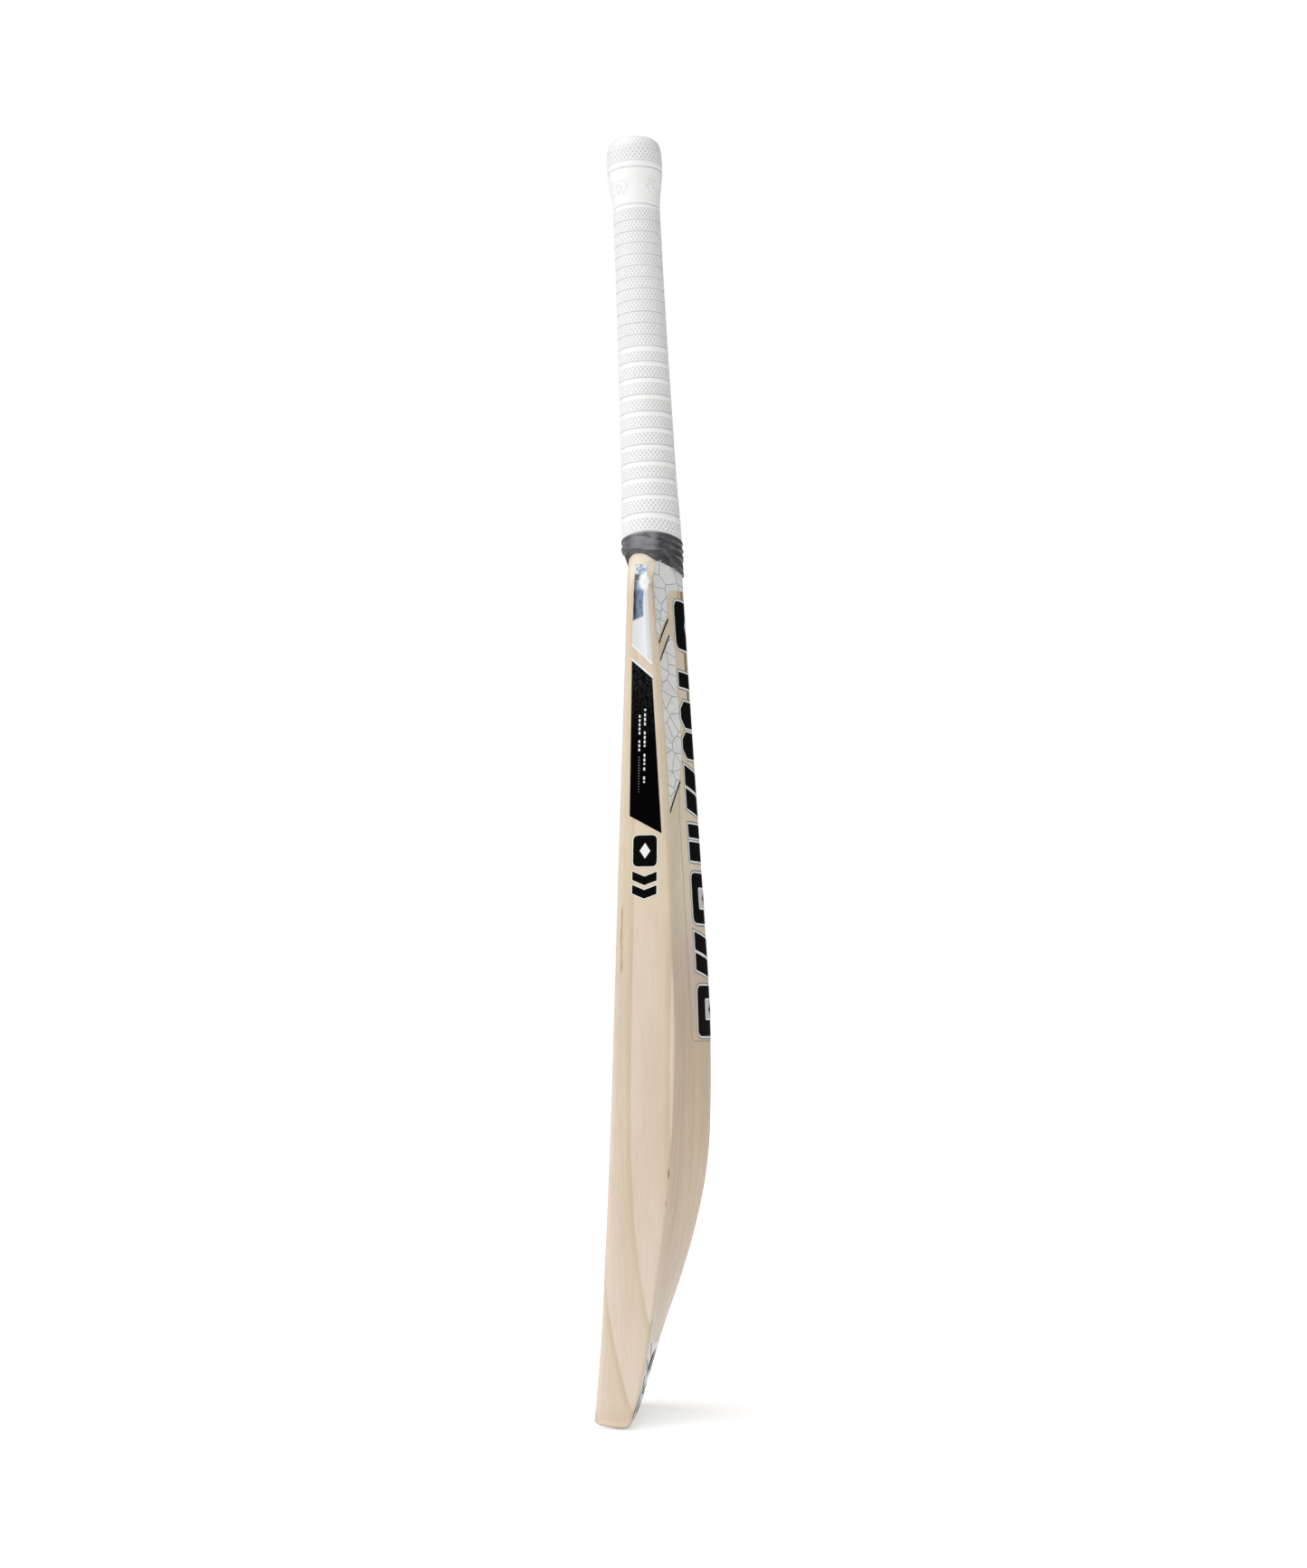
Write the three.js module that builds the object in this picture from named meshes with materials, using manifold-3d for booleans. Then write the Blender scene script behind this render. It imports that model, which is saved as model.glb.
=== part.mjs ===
// A full-size adult cricket bat, in millimetres, built from the pieces of the real thing: a willow blade
// with a V splice, a handle of cane slips glued round three rubber springs, a twine binding, a rubber grip,
// a wrap of tape over the shoulders, a toe guard and the adhesive labels.
//
// +Z runs from the toe to the end of the handle. The striking face looks along -Y and the spine stands
// out along +Y. The origin is under the middle of the bat's box, on the plane that the toe stands on.

import * as THREE from "three";
import Module from "manifold-3d";
import { mergeVertices } from "three/addons/utils/BufferGeometryUtils.js";

const wasm = await Module();
wasm.setup();

// ---------------------------------------------------------------- driving dimensions

const BLADE_TOP = 562; // top of the shoulders
const HALF_WIDTH = 54; // the blade is 108 wide, the most that the laws of the game allow
const FACE_CROWN = 1.2; // how far the middle of the face stands proud of its edges
const CORNER_RADIUS = 3; // rounding of the blade's four long corners
const SPINE_ROUNDING = 0.16; // how soft the spine is, as a share of the half width
const BACK_HOLLOW = 1.25; // over 1, the back is a little hollow between spine and edges
const GLUE_GAP = 0.3; // every glued or pressed joint keeps this much between its solids

// The blade's side view. height: above the toe; face: where the face is at its edges; edge: thickness of
// the edge; spine: thickness from the face's edges to the spine.
const BLADE_STATIONS = [
  { height: -12, face: -28.5, edge: 19.5, spine: 21.5 },
  { height: 0, face: -27.8, edge: 22.2, spine: 24.4 },
  { height: 30, face: -25.7, edge: 27.4, spine: 30.4 },
  { height: 60, face: -23.9, edge: 30.7, spine: 37.5 },
  { height: 90, face: -22.9, edge: 33.3, spine: 46.5 },
  { height: 120, face: -22.1, edge: 36.2, spine: 54.1 },
  { height: 155, face: -21.2, edge: 38.8, spine: 60.1 },
  { height: 190, face: -20.5, edge: 39.8, spine: 62 },
  { height: 260, face: -19.3, edge: 38.7, spine: 59.6 },
  { height: 340, face: -18.3, edge: 34, spine: 52.8 },
  { height: 420, face: -17.1, edge: 27.4, spine: 45.1 },
  { height: 500, face: -15.9, edge: 20.1, spine: 37.6 },
  { height: 540, face: -15.4, edge: 15.7, spine: 34.1 },
  { height: 580, face: -15, edge: 10.8, spine: 30.9 },
];

const TOE_CORNER = 10; // rounding of the toe's corners, seen from the front
const OUTLINE_MARGIN = 0.5; // the front outline clears the blade's edges by this much
const TOE_FLAT = [-13, -9]; // the strip that the toe stands on, along Y
const TOE_RISE = 3; // how far the toe is cut away towards the face
const TOE_GUARD_THICKNESS = 1.8;
const SHOULDER_DROP = 38; // height of the rounded shoulders

const SPLICE_TIP = 408; // height of the bottom of the V splice
const SPLICE_TIP_HALF = 2.2;
const SPLICE_TOP_HALF = 16.6;
const SPLICE_OVERLAP = 0.5; // how far the turned part of the handle runs on into the splice

// The handle is straight and leans towards the face. Its own axis starts at the shoulder.
const HANDLE_FOOT = new THREE.Vector3(0, -3.3, 585);
const HANDLE_LEAN = 0.061; // radians
const HANDLE_OVAL = 0.95; // width across the bat over depth from face to back
const CANE_END = 259; // top of the cane along the handle's axis

// Half depth of the bare cane along the handle's axis.
const CANE_PROFILE = [
  { along: -25, radius: 17.3 },
  { along: 0, radius: 16.4 },
  { along: 31, radius: 15 },
  { along: 66, radius: 14.3 },
  { along: 125, radius: 13.2 },
  { along: 200, radius: 12.5 },
  { along: CANE_END, radius: 12.5 },
];

const TWINE_THICKNESS = 0.8;
const TWINE_START = -20; // foot of the twine along the handle's axis
const GRIP_THICKNESS = 2;
const GRIP_START = -6; // foot of the grip along the handle's axis
const GRIP_END = 263; // top of the grip along the handle's axis
const GRIP_COLLAR = { from: 238, to: 253, radius: 18.6 }; // the thick ring at the end of the grip
const GRIP_HOLE = 8; // radius of the hole in the grip's end
const TAPE_THICKNESS = 1.8;
const TAPE_ROOT = -50; // inside the blade, along the handle's axis
const TAPE_END = GRIP_START - GLUE_GAP; // the tape stops just under the grip
const TAPE_REACH = 36; // how far the tape runs out along each shoulder
const TAPE_FOOT = { front: 564.5, middle: 554.6, back: 544.3 }; // the tape's lower edge

const SPRING_THICKNESS = 1.6;
const SPRING_PITCH = 6.5; // from one rubber spring to the next, across the bat
const SLIP_DEPTH = 9; // depth of the middle row of cane slips, from face to back

const LABEL_LIFT = 0.3; // clear space under a label
const LABEL_THICKNESS = 0.35;
const EDGE_LABEL_START = 44; // edge labels lie further out across the bat than this
const FACE_LABEL_REAR = -10; // face labels lie nearer the face than this, along Y

const AROUND = 32; // facets round the handle
const FAR = 400; // half length of a cutting block
const CLEAR_OF = 60; // half depth of a cutting block that passes right through the bat

// ---------------------------------------------------------------- colours

const finish = (color, roughness, metalness = 0) =>
  new THREE.MeshStandardMaterial({ color, roughness, metalness });

const MATERIALS = {
  willow: finish(0xe3cfb2, 0.55),
  cane: finish(0xc9a36a, 0.6),
  spring: finish(0x3a2a22, 0.85),
  twine: finish(0xd9c9a5, 0.9),
  grip: finish(0xf2f2f0, 0.6),
  tape: finish(0x55555a, 0.5),
  guard: finish(0xd8d8d4, 0.35),
  black: finish(0x0c0c0d, 0.35),
  foil: finish(0xc8ccd2, 0.12, 1),
  film: finish(0xc9ccd0, 0.4),
};

// ---------------------------------------------------------------- solids

// A three.js geometry as a manifold-3d solid.
function solidOf(geometry) {
  const bare = geometry.clone();
  bare.deleteAttribute("normal");
  bare.deleteAttribute("uv");
  const merged = mergeVertices(bare, 1e-4);
  return new wasm.Manifold(
    new wasm.Mesh({
      numProp: 3,
      vertProperties: merged.attributes.position.array,
      triVerts: new Uint32Array(merged.index.array),
    }),
  );
}

// A manifold-3d solid as a flat-shaded three.js geometry.
function geometryOf(solid) {
  const mesh = solid.getMesh();
  const geometry = new THREE.BufferGeometry();
  geometry.setAttribute("position", new THREE.BufferAttribute(mesh.vertProperties, 3));
  geometry.setIndex(new THREE.BufferAttribute(mesh.triVerts, 1));
  const flat = geometry.toNonIndexed();
  flat.computeVertexNormals();
  return flat;
}

// A closed skin over rings of points. Every ring has the same number of points, and runs the same way.
function loft(rings) {
  const count = rings[0].length;
  const positions = rings.flat().flatMap((p) => [p.x, p.y, p.z]);
  const centres = [rings[0], rings.at(-1)].map((ring) =>
    ring.reduce((sum, p) => sum.add(p), new THREE.Vector3()).divideScalar(count),
  );
  positions.push(...centres.flatMap((p) => [p.x, p.y, p.z]));
  const bottomCentre = rings.length * count;
  const topCentre = bottomCentre + 1;
  const faces = [];
  for (let r = 0; r + 1 < rings.length; r++) {
    for (let i = 0; i < count; i++) {
      const a = r * count + i;
      const b = r * count + ((i + 1) % count);
      faces.push(a, b, b + count, a, b + count, a + count);
    }
  }
  const last = (rings.length - 1) * count;
  for (let i = 0; i < count; i++) {
    const next = (i + 1) % count;
    faces.push(bottomCentre, next, i, topCentre, last + i, last + next);
  }
  const geometry = new THREE.BufferGeometry();
  geometry.setAttribute("position", new THREE.Float32BufferAttribute(positions, 3));
  geometry.setIndex(faces);
  return geometry;
}

const STRAIGHT = { bevelEnabled: false, curveSegments: 8 };

// A shape drawn in the XZ plane, extruded along Y from near to far.
function frontBlock(shape, near, far) {
  const geometry = new THREE.ExtrudeGeometry(shape, { ...STRAIGHT, depth: far - near });
  return solidOf(geometry.rotateX(Math.PI / 2).translate(0, far, 0));
}

// A shape drawn in the YZ plane, extruded along X from near to far.
function sideBlock(shape, near, far) {
  const geometry = new THREE.ExtrudeGeometry(shape, { ...STRAIGHT, depth: far - near });
  return solidOf(geometry.rotateX(Math.PI / 2).rotateZ(Math.PI / 2).translate(near, 0, 0));
}

const polygon = (corners) => new THREE.Shape(corners.map(([x, y]) => new THREE.Vector2(x, y)));

// A smooth curve through the stations, read at one place.
function smooth(stations, key, value, at) {
  const last = stations.length - 2;
  const found = stations.findIndex((s) => s[key] > at) - 1;
  const i = found < -1 ? last : Math.min(Math.max(found, 0), last);
  const slope = (a, b) => (b[value] - a[value]) / (b[key] - a[key]);
  const tangent = (k) => {
    const before = stations[Math.max(k - 1, 0)];
    const after = stations[Math.min(k + 1, stations.length - 1)];
    return slope(before, after);
  };
  const [from, to] = [stations[i], stations[i + 1]];
  const span = to[key] - from[key];
  const t = (at - from[key]) / span;
  const blend = t * t * (3 - 2 * t);
  const leave = t * (1 - t) * (1 - t);
  const arrive = t * t * (t - 1);
  return (
    from[value] * (1 - blend) +
    to[value] * blend +
    span * (leave * tangent(i) + arrive * tangent(i + 1))
  );
}

// ---------------------------------------------------------------- the blade's envelope

// Height of the back over the blade's edges, as a share of the spine's own height, at a share of the
// half width.
function backShape(share) {
  const soften = (s) => Math.hypot(s, SPINE_ROUNDING) - SPINE_ROUNDING;
  return (1 - soften(share) / soften(1)) ** BACK_HOLLOW;
}

// One half of a level cut through the blade, from the middle of the face round to the spine, grown by skin.
function halfSection(height, skin) {
  const face = smooth(BLADE_STATIONS, "height", "face", height) - skin;
  const edge = smooth(BLADE_STATIONS, "height", "edge", height) + 2 * skin;
  const spine = smooth(BLADE_STATIONS, "height", "spine", height) + 2 * skin;
  const half = HALF_WIDTH + skin;
  const points = [];
  for (const share of [0, 0.35, 0.7]) {
    points.push([share * half, face - FACE_CROWN * (1 - share ** 2)]);
  }
  const inset = half - CORNER_RADIUS;
  for (const angle of [-90, -45, 0]) {
    const a = THREE.MathUtils.degToRad(angle);
    points.push([inset + CORNER_RADIUS * Math.cos(a), face + CORNER_RADIUS * (1 + Math.sin(a))]);
  }
  for (const angle of [0, 55]) {
    const a = THREE.MathUtils.degToRad(angle);
    points.push([inset + CORNER_RADIUS * Math.cos(a), face + edge - CORNER_RADIUS * (1 - Math.sin(a))]);
  }
  for (const share of [0.9, 0.75, 0.6, 0.45, 0.3, 0.2, 0.1, 0]) {
    points.push([share * half, face + edge + (spine - edge) * backShape(share)]);
  }
  return points;
}

const RING_HEIGHTS = [
  -12, 0, 30, 60, 90, 120, 145, 170, 190, 210, 235, 260, 300, 340, 380, 420, 460, 500, 520, 540, 580,
];

// The blade before its ends are shaped, grown all round by skin.
function bladeEnvelope(skin = 0) {
  const rings = RING_HEIGHTS.map((height) => {
    const right = halfSection(height, skin);
    const left = right.slice(1, -1).reverse().map(([x, y]) => [-x, y]);
    return [...right, ...left].map(([x, y]) => new THREE.Vector3(x, y, height));
  });
  return solidOf(loft(rings));
}

// The blade seen from the front: rounded toe corners raised by lift, and rounded shoulders grown by skin.
function frontOutline(lift, skin) {
  const shape = new THREE.Shape();
  const drop = SHOULDER_DROP + skin;
  const shoulder = BLADE_TOP - SHOULDER_DROP;
  const neck = SPLICE_TOP_HALF + 2;
  const right = HALF_WIDTH + OUTLINE_MARGIN + skin;
  const corner = right - TOE_CORNER;
  shape.moveTo(-corner, lift);
  shape.lineTo(corner, lift);
  shape.absellipse(corner, lift + TOE_CORNER, TOE_CORNER, TOE_CORNER, -Math.PI / 2, 0, false);
  shape.lineTo(right, shoulder);
  shape.absellipse(neck, shoulder, right - neck, drop, 0, Math.PI / 2, false);
  shape.lineTo(-neck, shoulder + drop);
  shape.absellipse(-neck, shoulder, right - neck, drop, Math.PI / 2, Math.PI, false);
  shape.lineTo(-right, lift + TOE_CORNER);
  shape.absellipse(-corner, lift + TOE_CORNER, TOE_CORNER, TOE_CORNER, Math.PI, (3 * Math.PI) / 2, false);
  return shape;
}

// The blade seen from the side: the toe's flat strip, its cut towards the face and its rounded back corner.
function sideOutline(lift) {
  const front = BLADE_STATIONS[1].face;
  const back = front + BLADE_STATIONS[1].spine;
  const shape = new THREE.Shape();
  shape.moveTo(TOE_FLAT[0], lift);
  shape.lineTo(TOE_FLAT[1], lift);
  shape.quadraticCurveTo(back - 1.6, lift, back + 0.8, lift + 7);
  shape.lineTo(CLEAR_OF, lift + CLEAR_OF);
  shape.lineTo(CLEAR_OF, FAR + BLADE_TOP);
  shape.lineTo(-CLEAR_OF, FAR + BLADE_TOP);
  shape.lineTo(-CLEAR_OF, lift + CLEAR_OF / 2);
  shape.lineTo(front - 3, lift + TOE_RISE + 4);
  shape.quadraticCurveTo(front - 0.3, lift + TOE_RISE + 0.4, front + 3, lift + TOE_RISE - 0.9);
  return shape;
}

function outlineBlock(lift, skin = 0) {
  const front = frontBlock(frontOutline(lift, skin), -CLEAR_OF, CLEAR_OF);
  return front.intersect(sideBlock(sideOutline(lift), -CLEAR_OF, CLEAR_OF));
}

// The whole outside of the blade, grown by skin everywhere but at the toe.
const bladeBody = (skin) => bladeEnvelope(skin).intersect(outlineBlock(0, skin));

// ---------------------------------------------------------------- the handle's own frame

const handleFrame = new THREE.Matrix4()
  .makeTranslation(HANDLE_FOOT)
  .multiply(new THREE.Matrix4().makeRotationX(HANDLE_LEAN));

// A profile of [radius, along] points turned into an oval body on the handle's axis.
function turned(profile) {
  const points = profile.map(([radius, along]) => new THREE.Vector2(radius, along));
  const geometry = new THREE.LatheGeometry(points, AROUND);
  return solidOf(geometry.rotateX(Math.PI / 2).scale(HANDLE_OVAL, 1, 1).applyMatrix4(handleFrame));
}

// A block in the handle's frame, between two places across the bat and two from face to back.
function handleBlock(left, right, front, back) {
  const geometry = new THREE.BoxGeometry(right - left, back - front, 2 * FAR);
  geometry.translate((left + right) / 2, (front + back) / 2, 0);
  return solidOf(geometry.applyMatrix4(handleFrame));
}

const caneRadius = (along) => smooth(CANE_PROFILE, "along", "radius", along);

// Points of a sleeve's wall at one distance out from the cane, from one place along the handle to another.
function wall(offset, from, to, steps) {
  return Array.from({ length: steps + 1 }, (_, i) => {
    const along = from + ((to - from) * i) / steps;
    return [caneRadius(along) + offset, along];
  });
}

// A sleeve on the handle: its outer wall going up, then its inner wall coming down, closed on itself.
function sleeve(inner, outer, from, to, steps) {
  const profile = [...wall(outer, from, to, steps), ...wall(inner, to, from, steps)];
  return turned([...profile, profile[0]]);
}

// ---------------------------------------------------------------- blade, toe guard and splice

// The V of the splice, seen from the front, grown by gap on both slopes.
function spliceBlock(gap) {
  const top = BLADE_TOP + 4;
  const slope = (SPLICE_TOP_HALF - SPLICE_TIP_HALF) / (BLADE_TOP - SPLICE_TIP);
  const topHalf = SPLICE_TOP_HALF + 4 * slope + gap;
  const tipHalf = SPLICE_TIP_HALF + gap;
  const corners = [
    [-tipHalf, SPLICE_TIP - gap],
    [tipHalf, SPLICE_TIP - gap],
    [topHalf, top],
    [-topHalf, top],
  ];
  return frontBlock(polygon(corners), -CLEAR_OF, CLEAR_OF);
}

function makeBlade() {
  return bladeEnvelope()
    .intersect(outlineBlock(TOE_GUARD_THICKNESS + GLUE_GAP))
    .subtract(spliceBlock(GLUE_GAP));
}

function makeToeGuard() {
  const low = new THREE.BoxGeometry(3 * HALF_WIDTH, 3 * HALF_WIDTH, 4 * TOE_CORNER);
  return bladeBody(0).intersect(solidOf(low)).subtract(outlineBlock(TOE_GUARD_THICKNESS));
}

// The whole handle before it is cut into slips: the turned grip end and the wedge that fills the splice.
function makeHandleBlank() {
  const foot = (BLADE_TOP - SPLICE_OVERLAP - HANDLE_FOOT.z) / Math.cos(HANDLE_LEAN);
  const upper = turned([[0, foot], ...wall(0, foot, CANE_END, 7), [0, CANE_END]]);
  const wedge = spliceBlock(0).intersect(bladeBody(0));
  return upper.add(wedge);
}

// ---------------------------------------------------------------- cane slips and rubber springs

const handleBlank = makeHandleBlank();

const SPRINGS = { left: -SPRING_PITCH, centre: 0, right: SPRING_PITCH };

const makeSpring = (x) =>
  handleBlank.intersect(handleBlock(x - SPRING_THICKNESS / 2, x + SPRING_THICKNESS / 2, -FAR, FAR));

// The four layers of cane between and outside the springs, and the three rows from face to back.
const clear = SPRING_THICKNESS / 2 + GLUE_GAP;
const LAYERS = {
  outer_left: [-FAR, -SPRING_PITCH - clear],
  inner_left: [-SPRING_PITCH + clear, -clear],
  inner_right: [clear, SPRING_PITCH - clear],
  outer_right: [SPRING_PITCH + clear, FAR],
};
const ROWS = {
  front: [-FAR, -SLIP_DEPTH / 2 - GLUE_GAP / 2],
  middle: [-SLIP_DEPTH / 2 + GLUE_GAP / 2, SLIP_DEPTH / 2 - GLUE_GAP / 2],
  back: [SLIP_DEPTH / 2 + GLUE_GAP / 2, FAR],
};

const makeSlip = (layer, row) => handleBlank.intersect(handleBlock(...layer, ...row));

// ---------------------------------------------------------------- binding, grip and tape

const TWINE_OUTER = GLUE_GAP + TWINE_THICKNESS;

const makeTwine = () => sleeve(GLUE_GAP, TWINE_OUTER, TWINE_START, CANE_END - 4, 7);

function makeGrip() {
  const inner = TWINE_OUTER + GLUE_GAP;
  const outer = inner + GRIP_THICKNESS;
  const collar = GRIP_COLLAR.radius;
  const under = CANE_END + GLUE_GAP;
  const profile = [
    ...wall(outer, GRIP_START, 217, 7),
    [collar - 0.3, GRIP_COLLAR.from],
    [collar, (GRIP_COLLAR.from + GRIP_COLLAR.to) / 2],
    [collar - 0.2, GRIP_COLLAR.to],
    [collar - 1.6, GRIP_END - 5],
    [collar - 5.2, GRIP_END - 1.8],
    [GRIP_HOLE + 1.5, GRIP_END],
    [GRIP_HOLE, GRIP_END - 0.6],
    [GRIP_HOLE, under],
    ...wall(inner, under, GRIP_START, 8),
  ];
  return turned([...profile, profile[0]]);
}

// The tape wraps the foot of the handle and runs down over the blade's shoulders. Seen from the side its
// lower edge hangs lowest at the back.
function makeTape() {
  const inner = TWINE_OUTER + GLUE_GAP;
  const covered = (lift) =>
    turned([[0, TAPE_ROOT], ...wall(lift, TAPE_ROOT, TAPE_END, 3), [0, TAPE_END]]);
  const outside = covered(inner + TAPE_THICKNESS).add(bladeBody(GLUE_GAP + TAPE_THICKNESS));
  const inside = covered(inner).add(bladeBody(GLUE_GAP));
  const edge = [
    [-CLEAR_OF, TAPE_FOOT.front],
    [0, TAPE_FOOT.middle],
    [CLEAR_OF, TAPE_FOOT.back],
    [CLEAR_OF, FAR + BLADE_TOP],
    [-CLEAR_OF, FAR + BLADE_TOP],
  ];
  return outside.subtract(inside).intersect(sideBlock(polygon(edge), -TAPE_REACH, TAPE_REACH));
}

// ---------------------------------------------------------------- labels

// The thin skin just outside the blade that every label is cut from.
const labelSkin = bladeBody(LABEL_LIFT + LABEL_THICKNESS).subtract(bladeBody(LABEL_LIFT));

const onEdge = (side, corners) => {
  const outer = 2 * HALF_WIDTH;
  const [near, far] = side > 0 ? [EDGE_LABEL_START, outer] : [-outer, -EDGE_LABEL_START];
  return labelSkin.intersect(sideBlock(polygon(corners), near, far));
};
const onBack = (corners) => labelSkin.intersect(frontBlock(polygon(corners), 0, CLEAR_OF));
const onFace = (corners) => labelSkin.intersect(frontBlock(polygon(corners), -CLEAR_OF, FACE_LABEL_REAR));

// Labels on an edge are laid out by height, and by place across the edge: 0 at the face, 1 at the back.
function edgeCorners(places) {
  return places.map(([share, height]) => {
    const face = smooth(BLADE_STATIONS, "height", "face", height);
    const edge = smooth(BLADE_STATIONS, "height", "edge", height);
    return [face + share * edge, height];
  });
}

const EDGE_LABELS = {
  foil: { material: "foil", places: [[0.31, 548], [0.78, 548], [0.8, 486], [0.21, 497]] },
  panel: { material: "black", places: [[0.21, 486], [0.79, 475], [0.86, 376], [0.2, 386]] },
  mark_upper: { material: "black", places: [[0.28, 374], [0.74, 374], [0.74, 354], [0.28, 354]] },
  mark_lower: { material: "black", places: [[0.28, 353], [0.74, 353], [0.74, 332], [0.28, 332]] },
};

// The blocks across the spine, from the lowest to the highest: where each starts and ends.
const BLOCKS = [
  [246, 279],
  [284, 314],
  [319.5, 352],
  [360, 384],
  [389, 422.5],
  [427, 465],
  [474, 484],
  [499.5, 531.5],
];
const BLOCK_HALF = 20.3;

const blockCorners = ([bottom, top]) => [
  [-BLOCK_HALF, bottom],
  [BLOCK_HALF, bottom],
  [BLOCK_HALF, top],
  [-BLOCK_HALF, top],
];

// The patterned film on one flank of the back.
const filmCorners = (side) => {
  const corners = [
    [0.5, 547],
    [20, 550],
    [40, 550.5],
    [46, 546],
    [49, 540],
    [49, 480],
    [47.5, 390],
    [27, 412],
    [23, 430],
    [23, 500],
    [26, 515],
    [24, 533],
    [15, 539],
    [0.5, 540],
  ];
  const placed = corners.map(([x, z]) => [side * x, z]);
  return side > 0 ? placed.reverse() : placed;
};

const TOE_LABEL = [[-44, 8.5], [44, 8.5], [50, 55], [0, 50], [-50, 55]];
const FACE_LABEL = [[-30, 452], [0, 440], [30, 452], [30, 530], [-30, 530]];

// ---------------------------------------------------------------- assembly

const bat = new THREE.Group();

function place(name, solid, material) {
  const mesh = new THREE.Mesh(geometryOf(solid), MATERIALS[material]);
  mesh.name = name;
  bat.add(mesh);
}

place("blade", makeBlade(), "willow");
place("toe_guard", makeToeGuard(), "guard");
for (const [side, x] of Object.entries(SPRINGS)) {
  place(`spring_${side}`, makeSpring(x), "spring");
}
for (const [layerName, layer] of Object.entries(LAYERS)) {
  for (const [rowName, row] of Object.entries(ROWS)) {
    place(`cane_slip_${layerName}_${rowName}`, makeSlip(layer, row), "cane");
  }
}
place("twine_binding", makeTwine(), "twine");
place("grip", makeGrip(), "grip");
place("shoulder_tape", makeTape(), "tape");
for (const [sideName, side] of Object.entries({ right: 1, left: -1 })) {
  for (const [labelName, { material, places }] of Object.entries(EDGE_LABELS)) {
    place(`edge_${labelName}_${sideName}`, onEdge(side, edgeCorners(places)), material);
  }
  place(`back_film_${sideName}`, onBack(filmCorners(side)), "film");
}
BLOCKS.forEach((block, i) => place(`back_block_${i + 1}`, onBack(blockCorners(block)), "black"));
place("toe_label", onBack(TOE_LABEL), "film");
place("face_label", onFace(FACE_LABEL), "black");

// The origin goes under the middle of the bat's box.
const middle = new THREE.Box3().setFromObject(bat).getCenter(new THREE.Vector3());
bat.position.y = -middle.y;

export default bat;
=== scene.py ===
"""The cricket bat's surfaces and finishes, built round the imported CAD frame.

Lengths in the constants are millimetres in the bat's own drawing frame: Z runs up from the toe, -Y is the
striking face and +Y the spine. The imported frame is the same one, moved by SHIFT_Y and in metres.
"""

import math
from functools import reduce

import bmesh
import bpy
import numpy as np
from mathutils import Matrix, Vector, noise


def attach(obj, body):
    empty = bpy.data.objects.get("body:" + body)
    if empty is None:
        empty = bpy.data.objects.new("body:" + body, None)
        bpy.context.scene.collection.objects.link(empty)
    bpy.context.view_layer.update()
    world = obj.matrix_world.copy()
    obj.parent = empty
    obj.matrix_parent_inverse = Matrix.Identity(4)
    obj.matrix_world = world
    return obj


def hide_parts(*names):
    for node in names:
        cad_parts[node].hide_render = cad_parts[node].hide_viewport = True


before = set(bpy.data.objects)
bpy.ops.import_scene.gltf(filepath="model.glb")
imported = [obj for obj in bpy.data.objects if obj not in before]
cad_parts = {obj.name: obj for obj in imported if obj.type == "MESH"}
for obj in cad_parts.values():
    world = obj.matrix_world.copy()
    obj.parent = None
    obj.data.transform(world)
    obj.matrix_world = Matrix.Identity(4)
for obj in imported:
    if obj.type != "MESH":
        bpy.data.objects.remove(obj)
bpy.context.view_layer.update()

MM = 0.001
SHIFT_Y = -2.2497  # the drawing's own origin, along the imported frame's Y

# ---------------------------------------------------------------- the blade's shape

HEIGHTS = [-12, 0, 30, 60, 90, 120, 155, 190, 260, 340, 420, 500, 540, 580]
FACE = [-28.5, -27.8, -25.7, -23.9, -22.9, -22.1, -21.2, -20.5, -19.3, -18.3, -17.1, -15.9, -15.4, -15]
EDGE = [19.5, 22.2, 27.4, 30.7, 33.3, 36.2, 38.8, 39.8, 38.7, 34, 27.4, 20.1, 15.7, 10.8]
SPINE = [21.5, 24.4, 30.4, 37.5, 46.5, 54.1, 60.1, 62, 59.6, 52.8, 45.1, 37.6, 34.1, 30.9]
HALF_WIDTH = 54
FACE_CROWN = 1.2
EDGE_CROWN = 0.4
SPINE_ROUNDING = 0.16
BACK_HOLLOW = 1.25
BLADE_TOP = 562
SHOULDER_DROP = 38
NECK = 18.6
TOE_CORNER = 10
OUTLINE = 54.5
FACE_CORNER = 3.2
BACK_CORNER = (2.0, 4.2)  # the back's corners are softer above the middle
BACK_CORNER_HEIGHTS = (320, 430)
SHOULDER_ROUND = (8, 6)  # how far in and how far down the shoulders' tops are rounded
TOE_BLEND = 20  # the toe's slant dies out this far up the blade
TOE_SLANT_Y = [-30.8, -28, -24.8, -17.5, -13, -9, -6.6, -5.2, -4.2, -3.4, -2.8]
TOE_SLANT_Z = [7, 4, 2.1, 0.8, 0, 0, 0.7, 1.8, 3.2, 5, 6.8]
GUARD_TOP = 1.7
SPLICE = [(2.2, 408), (16.6, 562)]
SPLICE_GAP = 0.12

HANDLE_FOOT = (0, -3.3, 585)
HANDLE_LEAN = 0.061
HANDLE_OVAL = 0.95
CANE_ALONG = [-25, 0, 31, 66, 125, 200, 259]
CANE_RADIUS = [17.3, 16.4, 15, 14.3, 13.2, 12.5, 12.5]
CANE_END = 259
GRIP_OUTER = 3.4  # the grip's outside, over the cane
GRIP_INNER = 1.4  # and its inside


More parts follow.
